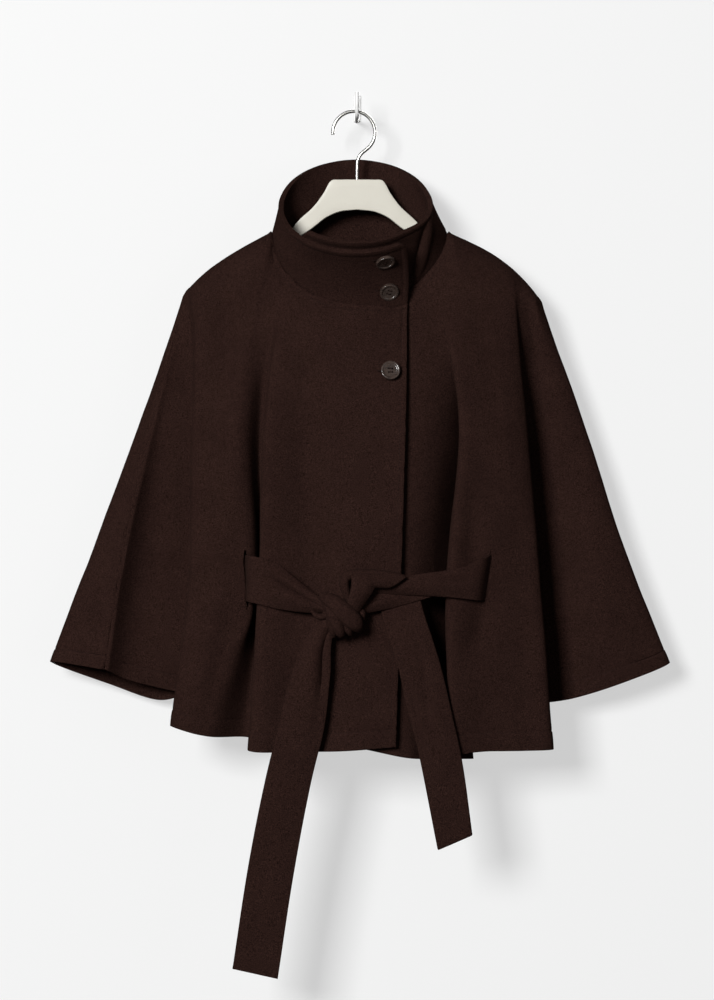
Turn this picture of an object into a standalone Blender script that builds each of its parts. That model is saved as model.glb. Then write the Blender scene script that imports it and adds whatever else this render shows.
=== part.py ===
"""Belted cape jacket of thick coat wool, hanging on its hanger from a wall hook.

Points are worked out in millimetres as (x, depth, z): x to the viewer's right, depth out from the
wall, z up from the middle of the wall plate's back face. The model is in metres, with the wall at
y = 0 and the viewer on the -y side. The wearer's right front is on the viewer's left.
"""

import math
from collections import namedtuple

import bmesh
import bpy
import numpy as np

MM = 0.001

# Cloth and hardware sizes
WOOL_WALL = 2.5
COLLAR_WALL = 5.0
BELT_WALL = 4.4
SEAM_GAP = 0.3
SIDE_SEAM_GAP = 0.8
NECK_SEAM_GAP = 1.6
BUTTON_ACROSS = 21.0
BUTTON_THICK = 4.2
WIRE_ACROSS = 4.0
BUTTON_LIFT = 1.4

# Heights at which the fold lines are measured
CHEST_Z = -345.0
BELT_Z = -552.0
SLEEVE_Z = -510.0

# Where the measured heights lie on a fold line, and its grid rows, as shares of the way to the hem
STATION_SHARES = (0.0, 0.25, 0.625, 1.0)
UNDERARM_SHARE = 0.375
ROW_SHARES = (
    0.0, 0.025, 0.06, 0.11, 0.175, 0.25, 0.3125, UNDERARM_SHARE,
    0.44, 0.5, 0.5625, 0.625, 0.7, 0.775, 0.85, 0.925, 1.0,
)
UNDERARM_ROW = ROW_SHARES.index(UNDERARM_SHARE)

# Neck seam: a level oval seen from above, low at the front; angle 0 is the front, 90 the viewer's left
NECK_X = 3.5
NECK_HALF_WIDTH = 102.0
NECK_DEPTH = 57.0
NECK_HALF_DEPTH = 40.0
NECK_FRONT_Z = -236.0
NECK_SIDE_Z = -153.0
NECK_BACK_Z = -141.0

# Collar: its upper edge is an oval that tips forward; it winds on past the front as the underlap
RIM_X = -1.5
RIM_HALF_WIDTH = 88.0
RIM_DEPTH = 84.0
RIM_HALF_DEPTH = 62.0
RIM_Z = -124.0
RIM_DROP = 56.0
COLLAR_START = -35.0
COLLAR_END = 395.0
KNEE_UPRIGHT = 0.3
UNDERLAP_FROM = 270.0
UNDERLAP_OVER = 50.0
UNDERLAP_IN = 9.0

# Shoulder seams run from the neck point to these tips, bowed up a little between
SHOULDER_TIP = {90: (-198.0, 50.0, -222.0), 270: (211.5, 49.0, -232.0)}
SHOULDER_BOW = {90: 5.0, 270: 8.0}
# Where the side seam and the sleeve seam meet, and the fold lines that end there
UNDERARM = {90: (-181.0, 50.0, -418.0), 270: (184.0, 50.0, -418.0)}
SEAM_FOLDS = ("side seam", "underarm")
# Cloth rounds over the hanger: how far it stands out, most at this share of the way to the hem
YOKE_ROUND = 14.0
YOKE_SHARE = 0.04
YOKE_FRONT_CLEAR = 78.0
YOKE_BACK_CLEAR = 22.0
YOKE_FADE = 20.0
YOKE_END_SHARE = 0.08

# A fold line: where it starts on the neck seam (degrees) and along the shoulder (share), then its x and
# depth at chest and belt height and its end at the hem; steps is the count of grid columns to the next
Fold = namedtuple("Fold", "name neck shoulder x_chest d_chest x_belt d_belt x_hem d_hem z_hem steps")

RIGHT_FRONT = (
    Fold("front edge", -32, 0, 56, 121, 50, 126, 44, 130, -741, 3),
    Fold("centre", 0, 0, -6, 123, -8, 127, -14, 133, -746, 3),
    Fold("inner wave", 22, 0, -56, 116, -62, 120, -66, 126, -747, 3),
    Fold("centre crest", 48, 0, -99, 120, -113, 123, -122, 134, -744, 3),
    Fold("centre valley", 62, 0, -111, 97, -126, 104, -132, 92, -735, 2),
    Fold("neck point", 90, 0, -124, 99, -139, 102, -147, 101, -732, 2),
    Fold("side wave", 90, 0.42, -152, 101, -164, 108, -172, 112, -729, 3),
    Fold("side crest", 90, 0.84, -186, 86, -191, 97, -212, 102, -719, 2),
    Fold("side seam", 90, 0.93, -181, 64, -176, 58, -185, 58, -716, 0),
)
RIGHT_SLEEVE_FRONT = (
    Fold("underarm", 90, 0.93, -181, 64, -193, 44, -199, 40, -684, 3),
    Fold("sleeve inner", 90, 0.955, -199, 69, -217, 66, -236, 62, -677, 3),
    Fold("sleeve outer", 90, 0.98, -216, 66, -245, 65, -270, 63, -665, 2),
    Fold("overarm", 90, 1.0, -231, 59, -269, 60, -292, 60, -656, 0),
)
LEFT_FRONT = (
    Fold("underlap edge", 392, 0, -58, 111, -56, 116, -50, 120, -738, 3),
    Fold("underlap centre", 360, 0, 0, 115, 0, 119, 0, 125, -743, 3),
    Fold("under edge", 326, 0, 60, 111, 62, 113, 58, 117, -755, 3),
    Fold("valley", 312, 0, 84, 97, 88, 92, 99, 90, -757, 3),
    Fold("panel crest", 300, 0, 117, 110, 105, 123, 108, 130, -751, 3),
    Fold("panel wave", 284, 0, 143, 111, 139, 118, 146, 122, -747, 2),
    Fold("neck point", 270, 0, 157, 106, 160, 113, 168, 117, -747, 2),
    Fold("side wave", 270, 0.45, 172, 101, 184, 108, 194, 113, -747, 3),
    Fold("side crest", 270, 0.86, 191, 86, 210, 98, 224, 104, -746, 2),
    Fold("side seam", 270, 0.93, 182, 64, 180, 58, 200, 58, -742, 0),
)
LEFT_SLEEVE_FRONT = (
    Fold("underarm", 270, 0.93, 182, 64, 199, 44, 213, 40, -692, 3),
    Fold("sleeve inner", 270, 0.95, 216, 67, 236, 66, 252, 62, -686, 3),
    Fold("sleeve outer", 270, 0.97, 231, 62, 268, 63, 302, 58, -670, 3),
    Fold("sleeve edge", 270, 0.985, 246, 46, 300, 43, 356, 40, -646, 2),
    Fold("overarm", 270, 1.0, 236, 33, 285, 28, 336, 24, -650, 0),
)
RIGHT_SLEEVE_BACK = (
    Fold("overarm", 90, 1.0, -231, 59, -269, 60, -292, 60, -656, 2),
    Fold("sleeve edge", 90, 0.985, -241, 44, -300, 43, -353, 41, -645, 3),
    Fold("sleeve back", 90, 0.965, -218, 27, -260, 24, -290, 24, -675, 3),
    Fold("sleeve back inner", 90, 0.945, -199, 27, -222, 24, -230, 23, -694, 2),
    Fold("underarm", 90, 0.93, -181, 28, -193, 44, -199, 40, -684, 0),
)
BACK = (
    Fold("side seam", 90, 0.93, -181, 28, -176, 58, -185, 58, -716, 2),
    Fold("back side", 90, 0.7, -165, 22, -152, 24, -160, 28, -726, 3),
    Fold("back wave", 90, 0.3, -118, 19, -112, 27, -118, 31, -734, 3),
    Fold("neck point", 90, 0, -80, 18, -70, 19, -74, 18, -738, 4),
    Fold("centre back", 180, 0, 2, 18, 0, 24, 0, 27, -740, 4),
    Fold("neck point", 270, 0, 84, 18, 72, 18, 76, 18, -740, 3),
    Fold("back wave", 270, 0.3, 124, 19, 118, 27, 124, 31, -742, 3),
    Fold("back side", 270, 0.7, 172, 22, 158, 24, 176, 28, -744, 2),
    Fold("side seam", 270, 0.93, 182, 28, 180, 58, 200, 58, -742, 0),
)
LEFT_SLEEVE_BACK = (
    Fold("underarm", 270, 0.93, 182, 28, 199, 44, 213, 40, -692, 2),
    Fold("sleeve back inner", 270, 0.95, 204, 27, 228, 24, 240, 23, -686, 3),
    Fold("sleeve back", 270, 0.975, 222, 26, 258, 22, 296, 22, -666, 2),
    Fold("overarm", 270, 1.0, 236, 33, 285, 28, 336, 24, -650, 0),
)

# Belt slits, cut upright through the fronts: middle, width across and length
Slit = namedtuple("Slit", "x z across length depth_from depth_to")
RIGHT_SLIT = Slit(-124.5, -550.0, 14.0, 60.0, 88.0, 128.0)
LEFT_SLIT = Slit(144.0, -549.0, 18.0, 60.0, 103.0, 132.0)

# A belt stretch, station by station: its upper and lower edge, and how far its middle stands proud
Station = namedtuple("Station", "x_up d_up z_up x_low d_low z_low crown")

BELT_STRETCHES = {
    "belt_right_run": (
        Station(-129, 93, -524, -130, 93, -576, 0),
        Station(-123.5, 107, -525, -123.5, 107, -577, 0),
        Station(-118, 124, -527, -118, 124, -578, 1),
        Station(-107, 131, -536, -107, 131, -581, 3),
        Station(-77, 130, -555, -77, 129, -588, 5),
        Station(-44, 134, -573, -41, 134, -594, 4),
    ),
    "belt_left_run": (
        Station(23, 137, -560, 19, 138, -579, 4),
        Station(55, 136, -549, 52, 136, -573, 4),
        Station(84, 133, -540, 84, 133, -574, 3),
        Station(116, 131, -531, 114, 131, -575, 2),
        Station(139, 127, -525, 133, 127, -576, 1),
        Station(146, 118, -523, 142, 118, -576, 0),
        Station(151.5, 104, -523, 148, 104, -576, 0),
    ),
    "belt_loop": (
        Station(-20, 146, -548, -19, 146, -562, 2),
        Station(-4, 145, -541, -2, 145, -560, 5),
        Station(25, 144, -541, 24, 144, -556, 5),
        Station(50, 145, -547, 50, 145, -553, 2),
    ),
    "belt_inside": (
        Station(-131, 92, -523, -132, 92, -575, 0),
        Station(-164, 74, -523, -164, 74, -575, 0),
        Station(-146, 42, -522, -146, 42, -574, 0),
        Station(-80, 33, -520, -80, 33, -572, 0),
        Station(0, 34, -520, 0, 34, -572, 0),
        Station(90, 33, -520, 90, 33, -572, 0),
        Station(150, 42, -521, 150, 42, -573, 0),
        Station(170, 74, -522, 170, 74, -574, 0),
        Station(153, 102, -523, 149.5, 102, -576, 0),
    ),
    "belt_tail_long": (
        Station(-38, 136, -598, -14, 137, -606, 1),
        Station(-46, 137, -618, -23, 138, -622, 4),
        Station(-63, 138, -644, -30, 139, -644, 4),
        Station(-83, 139, -690, -36, 139, -690, 3),
        Station(-100, 140, -748, -48, 140, -748, 2),
        Station(-122, 138, -870, -70, 138, -875, 1),
        Station(-141, 136, -992, -90, 136, -1004, 0),
    ),
    "belt_tail_short": (
        Station(27, 130.5, -574, 76, 128, -567, 0),
        Station(31, 132, -598, 81, 131, -592, 1),
        Station(38, 135, -624, 89, 134, -624, 3),
        Station(50, 138, -650, 103, 136, -667, 3),
        Station(67, 139, -736, 118, 137, -755, 2),
        Station(92, 136, -858, 131, 136, -841, 1),
    ),
}

# The knot, round its own slanting axis: station centre, half height across the axis, half depth
KNOT_SLANT = 0.55
KNOT_UPRIGHT = 0.83
Lump = namedtuple("Lump", "x d z half_height half_depth")
KNOT = (
    Lump(-48, 151, -574, 8, 6),
    Lump(-41, 154, -578, 17, 10),
    Lump(-25, 157, -587, 22, 13),
    Lump(-8, 156, -598, 21, 12),
    Lump(3, 153, -606, 13, 9),
    Lump(8, 151, -610, 6, 5),
)

# The hanger's outline, from its middle to one tip: upper and lower edge
Rib = namedtuple("Rib", "x z_top z_low")
HANGER = (
    Rib(0, -92.5, -126.5),
    Rib(19, -92.7, -128.5),
    Rib(31, -94.5, -133),
    Rib(38, -107, -137),
    Rib(50, -123, -146),
    Rib(70, -141, -160),
    Rib(98, -178, -193),
    Rib(150, -208, -221),
    Rib(172, -223, -232),
    Rib(179, -230, -235),
)
HANGER_DEPTH = 50.0
HANGER_THICK = 10.0
HANGER_EDGE = 2.0
HANGER_EDGE_SHARE = 0.3

# The hanger's wire: a round hook, then a swan neck down to the wood
HOOK_X = -3.5
HOOK_Z = -33.0
HOOK_RADIUS = 24.5
HOOK_FROM = 186.0
HOOK_TO = -48.0
SWAN_NECK = ((4.0, -59.0), (0.5, -67.0), (0.0, -76.0), (0.0, -92.1))
HOOK_POINTS = 20
WIRE_RINGS = 26
TUBE_SIDES = 8

# The wall hook: a small plate, and a rod that runs out under the wire and turns up before it
PLATE_WIDE = 8.0
PLATE_TALL = 32.0
PLATE_THICK = 3.0
ROD_ACROSS = 4.6
ROD = (
    (2.0, -14.9), (20.0, -14.9), (45.0, -14.9), (53.0, -12.2), (57.0, -4.0), (57.5, 5.0), (57.5, 12.5),
)
ROD_RINGS = 16

# Buttons: where each lies on its cloth, from the front
Button = namedtuple("Button", "name cloth x z")
BUTTONS = (
    Button("button_collar_upper", "collar", 31.0, -186.5),
    Button("button_collar_lower", "collar", 36.0, -219.5),
    Button("button_front", "front", 38.0, -313.0),
)
# A button's turned profile, from its back: share of its half width, share of its thickness
BUTTON_PROFILE = ((0.88, 0.0), (1.0, 0.25), (1.0, 0.7), (0.92, 1.0), (0.76, 0.95), (0.66, 0.72))
BUTTON_HOLE_ACROSS = 2.2
BUTTON_HOLE_OUT = 2.7
BUTTON_HOLES = 4
BUTTON_HOLE_TURN = 45.0
# The stretch of collar that the buttons are set on, and how finely the cloth is read under them
BUTTONED_TO = 60.0
BUTTONED_COLUMNS = 60
BUTTONED_ROWS = 30
BUTTONED_FINER = 4


def metres(points):
    """The points (x, depth, z) in millimetres as model coordinates in metres."""
    points = np.asarray(points, float)
    return np.stack([points[..., 0], -points[..., 1], points[..., 2]], axis=-1) * MM


def through(points, knots, at):
    """A smooth curve through the points, which it passes at the knots, read at the given places."""
    points = np.asarray(points, float)
    knots = np.asarray(knots, float)
    at = np.asarray(at, float)
    slopes = np.gradient(points, knots, axis=0)
    span = np.clip(np.searchsorted(knots, at, side="right") - 1, 0, len(knots) - 2)
    length = (knots[span + 1] - knots[span])[:, None]
    t = ((at - knots[span])[:, None]) / length
    start = (2 * t**3 - 3 * t**2 + 1) * points[span] + (t**3 - 2 * t**2 + t) * length * slopes[span]
    stop = (3 * t**2 - 2 * t**3) * points[span + 1] + (t**3 - t**2) * length * slopes[span + 1]
    return start + stop


def even_knots(points):
    """Knots for a curve through unevenly spaced points, so that it doesn't swing out between them."""
    steps = np.linalg.norm(np.diff(np.asarray(points, float), axis=0), axis=1)
    return np.concatenate([[0.0], np.cumsum(np.sqrt(np.maximum(steps, 0.5)))])


def underlap_share(angle):
    """How far the neck has wound in under the overlap, from 0 to 1."""
    t = min(max((angle - UNDERLAP_FROM) / UNDERLAP_OVER, 0.0), 1.0)
    return t * t * (3 - 2 * t)


def neck_point(angle):
    turn = math.radians(angle)
    inset = UNDERLAP_IN * underlap_share(angle)
    side_to = NECK_FRONT_Z if math.cos(turn) > 0 else NECK_BACK_Z
    return np.array([
        NECK_X - (NECK_HALF_WIDTH - inset) * math.sin(turn),
        NECK_DEPTH + (NECK_HALF_DEPTH - inset) * math.cos(turn),
        NECK_SIDE_Z + (side_to - NECK_SIDE_Z) * abs(math.cos(turn)),
    ])


def neck_gap(angle):
    """Half the gap at the neck seam, measured upright, so that it is even across a steep seam too."""
    turn = math.radians(angle)
    fall = (NECK_FRONT_Z if math.cos(turn) > 0 else NECK_BACK_Z) - NECK_SIDE_Z
    run = math.hypot(NECK_HALF_WIDTH * math.cos(turn), NECK_HALF_DEPTH * math.sin(turn))
    steep = fall * math.sin(turn) / run
    return np.array([0.0, 0.0, NECK_SEAM_GAP * math.hypot(1.0, steep)])


def rim_point(angle):
    turn = math.radians(angle)
    inset = UNDERLAP_IN * underlap_share(angle)
    return np.array([
        RIM_X - (RIM_HALF_WIDTH - inset) * math.sin(turn),
        RIM_DEPTH + (RIM_HALF_DEPTH - inset) * math.cos(turn),
        RIM_Z - (RIM_DROP - 0.5 * inset) * math.cos(turn),
    ])


def top_point(neck, shoulder):
    """A point of a panel's upper edge: on the neck seam, or on the shoulder seam outside it."""
    start = neck_point(neck) - neck_gap(neck)
    if shoulder <= 0:
        return start
    side = 90 if neck < 180 else 270
    tip = np.array(SHOULDER_TIP[side])
    bow = np.array([0.0, 0.0, SHOULDER_BOW[side] * 4 * shoulder * (1 - shoulder)])
    return start + (tip - start) * shoulder + bow


def fold_line(fold, belt_z, shares):
    stations = [
        top_point(fold.neck, fold.shoulder),
        (fold.x_chest, fold.d_chest, CHEST_Z),
        (fold.x_belt, fold.d_belt, belt_z),
        (fold.x_hem, fold.d_hem, fold.z_hem),
    ]
    if fold.name not in SEAM_FOLDS:
        return through(stations, STATION_SHARES, shares)
    pit = UNDERARM[90 if fold.neck < 180 else 270]
    above = through(stations[:2] + [pit], (*STATION_SHARES[:2], UNDERARM_SHARE), shares)
    below = through([pit] + stations[2:], (UNDERARM_SHARE, *STATION_SHARES[2:]), shares)
    return np.where((shares <= UNDERARM_SHARE)[:, None], above, below)


def grid_row(lines, folds, finer=1):
    """One grid row: a smooth curve through the fold lines' points, with each fold's own steps."""
    knots = even_knots(lines)
    places = [knots[0]]
    for index, fold in enumerate(folds[:-1]):
        count = fold.steps * finer
        span = knots[index + 1] - knots[index]
        places += [knots[index] + span * (step + 1) / count for step in range(count)]
    return through(lines, knots, places)


def top_places(folds, finer=1):
    """Where each grid column starts: degrees along the neck seam, and share along the shoulder."""
    places = [(folds[0].neck, folds[0].shoulder)]
    for here, there in zip(folds, folds[1:]):
        count = here.steps * finer
        for step in range(count):
            t = (step + 1) / count
            neck = here.neck + (there.neck - here.neck) * t
            places.append((neck, here.shoulder + (there.shoulder - here.shoulder) * t))
    return places


def yoke_weights(top, shoulders, outward):
    """1 where a panel starts near the hanger's plane, 0 at the overarm and where the neck is well clear."""
    ends = np.clip((1 - shoulders) / YOKE_END_SHARE, 0, 1)
    if outward > 0:
        return ends * np.clip((YOKE_FRONT_CLEAR - top[:, 1]) / YOKE_FADE, 0, 1)
    return ends * np.clip((top[:, 1] - YOKE_BACK_CLEAR) / YOKE_FADE, 0, 1)


def panel_grid(groups, belt_heights, outward, finer=1):
    """Grids of one cloth piece: fold groups side by side, one sheet down to the underarm, apart below."""
    rows = (len(ROW_SHARES) - 1) * finer
    shares = np.interp(np.arange(rows + 1) / finer, np.arange(len(ROW_SHARES)), ROW_SHARES)
    lines = [
        np.array([fold_line(fold, belt_z, shares) for fold in group])
        for group, belt_z in zip(groups, belt_heights)
    ]
    widths = [sum(fold.steps for fold in group) * finer for group in groups]
    joined_folds = list(groups[0])
    for group in groups[1:]:
        joined_folds = joined_folds[:-1] + list(group)
    grids = [np.zeros((rows + 1, width + 1, 3)) for width in widths]
    places = top_places(joined_folds, finer)
    top = np.array([top_point(*place) for place in places])
    yoke = outward * YOKE_ROUND * yoke_weights(top, np.array(places)[:, 1], outward)
    for row, share in enumerate(shares):
        if share <= UNDERARM_SHARE:
            points = np.concatenate([lines[0][:, row]] + [part[1:, row] for part in lines[1:]])
            whole = grid_row(points, joined_folds, finer)
            if row == 0:
                lift = top - whole
            fade = max(0.0, 1 - share / STATION_SHARES[1]) ** 2
            whole = whole + lift * fade
            whole[:, 1] += yoke * share / YOKE_SHARE * math.exp(1 - share / YOKE_SHARE)
            start = 0
            for grid, width in zip(grids, widths):
                grid[row] = whole[start:start + width + 1]
                start += width
        else:
            for grid, part, group in zip(grids, lines, groups):
                grid[row] = grid_row(part[:, row], group, finer)
    return grids


def sheet_faces(grids, underarm, flip):
    """Points and quads of side-by-side grids that share their border column down to the underarm."""
    points = []
    numbers = []
    for index, grid in enumerate(grids):
        rows, columns = grid.shape[:2]
        number = np.zeros((rows, columns), int)
        for row in range(rows):
            for column in range(columns):
                if index and column == 0 and row <= underarm:
                    number[row, 0] = numbers[-1][row, -1]
                    continue
                number[row, column] = len(points)
                points.append(grid[row, column])
        numbers.append(number)
    quads = []
    for number in numbers:
        for row in range(number.shape[0] - 1):
            for column in range(number.shape[1] - 1):
                quad = [
                    number[row, column], number[row, column + 1],
                    number[row + 1, column + 1], number[row + 1, column],
                ]
                quads.append(quad[::-1] if flip else quad)
    return points, quads


def material(name, colour, roughness, metallic=0.0):
    made = bpy.data.materials.new(name)
    made.use_nodes = True
    shader = made.node_tree.nodes["Principled BSDF"]
    shader.inputs["Base Color"].default_value = (*colour, 1.0)
    shader.inputs["Roughness"].default_value = roughness
    shader.inputs["Metallic"].default_value = metallic
    return made


def add_object(name, points, faces, finish):
    mesh = bpy.data.meshes.new(name)
    corners = [tuple(point) for point in metres(points)]
    mesh.from_pydata(corners, [], [[int(number) for number in face] for face in faces])
    mesh.materials.append(finish)
    made = bpy.data.objects.new(name, mesh)
    bpy.context.scene.collection.objects.link(made)
    mesh.shade_smooth()
    return made


def thicken(made, wall, outward=1.0):
    solid = made.modifiers.new("Wall", "SOLIDIFY")
    solid.thickness = wall * MM
    solid.offset = outward
    return made


def hidden(made):
    """Marks a body that only shapes another one."""
    made.hide_render = True
    made.display_type = "WIRE"
    return made


def pulled_in(grid, left=0.0, right=0.0):
    """The grid with its side columns drawn in along the sheet, so that it ends clear of its neighbour."""
    grid = grid.copy()
    for column, inner, amount in ((0, 1, left), (-1, -2, right)):
        if amount:
            step = grid[:, inner] - grid[:, column]
            grid[:, column] += step * (amount / np.linalg.norm(step, axis=1, keepdims=True))
    return grid


def cut_slit(made, slit):
    half = np.array([slit.across, slit.depth_to - slit.depth_from, slit.length]) / 2
    middle = np.array([slit.x, (slit.depth_from + slit.depth_to) / 2, slit.z])
    ends = (-1, 1)
    corners = [middle + half * np.array([sx, sd, sz]) for sx in ends for sd in ends for sz in ends]
    faces = [(0, 2, 3, 1), (4, 5, 7, 6), (0, 1, 5, 4), (2, 6, 7, 3), (0, 4, 6, 2), (1, 3, 7, 5)]
    cutter = hidden(recalculated(add_object(made.name + "_slit", corners, faces, made.data.materials[0])))
    cut = made.modifiers.new("Belt slit", "BOOLEAN")
    cut.operation = "DIFFERENCE"
    cut.object = cutter


def build_fronts(wool):
    for name, groups, slit, flip in (
        ("front_right", (RIGHT_FRONT, RIGHT_SLEEVE_FRONT), RIGHT_SLIT, False),
        ("front_left", (LEFT_FRONT, LEFT_SLEEVE_FRONT), LEFT_SLIT, True),
    ):
        grids = trim_edges(panel_grid(groups, (BELT_Z, SLEEVE_Z), 1))
        points, quads = sheet_faces(grids, UNDERARM_ROW, flip)
        cut_slit(thicken(add_object(name, points, quads, wool), WOOL_WALL), slit)


def trim_edges(grids):
    """Draws the seam edges in by the seam gap: overarm, underarm, side and shoulder."""
    body, sleeve = (grid.copy() for grid in grids)
    sleeve = pulled_in(sleeve, right=SEAM_GAP)
    below = slice(UNDERARM_ROW, None)
    body[below] = pulled_in(body, right=SIDE_SEAM_GAP)[below]
    sleeve[below] = pulled_in(sleeve, left=SIDE_SEAM_GAP)[below]
    join = (body[UNDERARM_ROW, -1] + sleeve[UNDERARM_ROW, 0]) / 2
    join[1] += SEAM_GAP
    body[UNDERARM_ROW, -1] = join
    sleeve[UNDERARM_ROW, 0] = join
    for grid in (body, sleeve):
        step = grid[1] - grid[0]
        grid[0] += step * (SEAM_GAP / np.linalg.norm(step, axis=1, keepdims=True))
    return [body, sleeve]


def build_back(wool):
    groups = (RIGHT_SLEEVE_BACK, BACK, LEFT_SLEEVE_BACK)
    grids = panel_grid(groups, (SLEEVE_Z, BELT_Z, SLEEVE_Z), -1)
    right, body, left = grids
    below = slice(UNDERARM_ROW, None)
    right = pulled_in(right, left=SEAM_GAP)
    left = pulled_in(left, right=SEAM_GAP)
    right[below] = pulled_in(right, right=SIDE_SEAM_GAP)[below]
    left[below] = pulled_in(left, left=SIDE_SEAM_GAP)[below]
    body[below] = pulled_in(body, left=SIDE_SEAM_GAP, right=SIDE_SEAM_GAP)[below]
    for one, other, here, there in ((right, body, -1, 0), (body, left, -1, 0)):
        join = (one[UNDERARM_ROW, here] + other[UNDERARM_ROW, there]) / 2
        join[1] -= SEAM_GAP
        one[UNDERARM_ROW, here] = join
        other[UNDERARM_ROW, there] = join
    for grid in (right, body, left):
        step = grid[1] - grid[0]
        grid[0] += step * (SEAM_GAP / np.linalg.norm(step, axis=1, keepdims=True))
    points, quads = sheet_faces([right, body, left], UNDERARM_ROW, False)
    thicken(add_object("back", points, quads, wool), WOOL_WALL)


def collar_point(angle, share):
    """A point of the collar's outer face: it rises from the neck seam, then leans out to the rim."""
    base = neck_point(angle) + neck_gap(angle)
    rim = rim_point(angle)
    lean = 0.5 - KNEE_UPRIGHT * max(math.cos(math.radians(angle)), 0.0)
    knee = base + (rim - base) * np.array([lean, lean, 0.5])
    return (1 - share) ** 2 * base + 2 * share * (1 - share) * knee + share**2 * rim


def build_collar(wool, around=44, upward=6):
    angles = np.linspace(COLLAR_START, COLLAR_END, around + 1)
    shares = np.linspace(1, 0, upward + 1)
    grid = np.array([[collar_point(angle, share) for angle in angles] for share in shares])
    points, quads = sheet_faces([grid], 0, False)
    thicken(add_object("collar", points, quads, wool), COLLAR_WALL, -1.0)


def ribbon_grid(stations, along, columns=4):
    rows = np.array(stations, float)
    middles = (rows[:, :3] + rows[:, 3:6]) / 2
    knots = even_knots(middles)
    places = np.concatenate([
        np.linspace(a, b, along, endpoint=False) for a, b in zip(knots, knots[1:])
    ] + [knots[-1:]])
    read = through(rows, knots, places)
    shares = np.linspace(0, 1, columns + 1)
    grid = np.zeros((len(places), columns + 1, 3))
    for index, share in enumerate(shares):
        grid[:, index] = read[:, :3] * (1 - share) + read[:, 3:6] * share
        grid[:, index, 1] += read[:, 6] * 4 * share * (1 - share)
    return grid


def build_belt(wool):
    for name, stations in BELT_STRETCHES.items():
        grid = ribbon_grid(stations, 3)
        points, quads = sheet_faces([grid], 0, name.startswith("belt_tail"))
        thicken(add_object(name, points, quads, wool), BELT_WALL)
    build_knot(wool)


def build_knot(wool, sides=14, along=3):
    rows = np.array(KNOT, float)
    knots = even_knots(rows[:, :3])
    places = np.linspace(knots[0], knots[-1], along * (len(KNOT) - 1) + 1)
    turns = [2 * math.pi * side / sides for side in range(sides)]
    rings = []
    for x, d, z, half_height, half_depth in through(rows, knots, places):
        rises = [half_height * math.cos(turn) for turn in turns]
        outs = [half_depth * math.sin(turn) for turn in turns]
        rings.append([
            (x + KNOT_SLANT * rise, d + out, z + KNOT_UPRIGHT * rise) for rise, out in zip(rises, outs)
        ])
    rings_object("belt_knot", rings, wool)


def recalculated(made):
    shape = bmesh.new()
    shape.from_mesh(made.data)
    bmesh.ops.recalc_face_normals(shape, faces=shape.faces)
    shape.to_mesh(made.data)
    shape.free()
    return made


def rings_object(name, rings, finish):
    """A closed body through rings of points, capped at both ends."""
    sides = len(rings[0])
    points = [point for ring in rings for point in ring]
    faces = [tuple(range(sides)), tuple(range(len(points) - sides, len(points)))]
    for ring in range(len(rings) - 1):
        for side in range(sides):
            a = ring * sides + side
            b = ring * sides + (side + 1) % sides
            faces.append((a, a + sides, b + sides, b))
    return recalculated(add_object(name, points, faces, finish))


def tube_rings(path, across, sides):
    """Rings round a path that lies in one plane."""
    path = np.asarray(path, float)
    along = np.gradient(path, axis=0)
    along /= np.linalg.norm(along, axis=1, keepdims=True)
    flat = np.cross(path[1] - path[0], path[len(path) // 2] - path[0])
    flat /= np.linalg.norm(flat)
    turns = [2 * math.pi * side / sides for side in range(sides)]
    rings = []
    for point, direction in zip(path, along):
        out = np.cross(direction, flat)
        rings.append([point + across / 2 * (math.cos(t) * out + math.sin(t) * flat) for t in turns])
    return rings


def build_hanger(cream, steel):
    half = np.array(HANGER, float)
    rings = []
    for x, top, low in np.concatenate([half[:0:-1] * np.array([-1, 1, 1]), half]):
        edge = min(HANGER_EDGE, HANGER_EDGE_SHARE * (top - low))
        inner = HANGER_THICK / 2 - edge
        outer = HANGER_THICK / 2
        corners = (
            (-inner, top), (inner, top), (outer, top - edge), (outer, low + edge),
            (inner, low), (-inner, low), (-outer, low + edge), (-outer, top - edge),
        )
        rings.append([(x, HANGER_DEPTH + d, z) for d, z in corners])
    rings_object("hanger", rings, cream)
    turns = np.radians(np.linspace(HOOK_FROM, HOOK_TO, HOOK_POINTS))
    arc = [(HOOK_X + HOOK_RADIUS * math.cos(t), HOOK_Z + HOOK_RADIUS * math.sin(t)) for t in turns]
    route = np.array([(x, HANGER_DEPTH, z) for x, z in arc + list(SWAN_NECK)])
    knots = even_knots(route)
    path = through(route, knots, np.linspace(knots[0], knots[-1], WIRE_RINGS))
    rings_object("hanger_hook", tube_rings(path, WIRE_ACROSS, TUBE_SIDES), steel)


def build_wall_hook(white):
    wide = PLATE_WIDE / 2
    tall = PLATE_TALL / 2
    outline = [(-wide, -tall), (wide, -tall), (wide, tall), (-wide, tall)]
    rings = [[(x, d, z) for x, z in outline] for d in (0.0, PLATE_THICK)]
    plate = rings_object("wall_hook", rings, white)
    route = np.array([(0.0, d, z) for d, z in ROD])
    knots = even_knots(route)
    path = through(route, knots, np.linspace(knots[0], knots[-1], ROD_RINGS))
    rod = hidden(rings_object("wall_hook_rod", tube_rings(path, ROD_ACROSS, TUBE_SIDES), white))
    join = plate.modifiers.new("Rod", "BOOLEAN")
    join.operation = "UNION"
    join.object = rod


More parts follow.
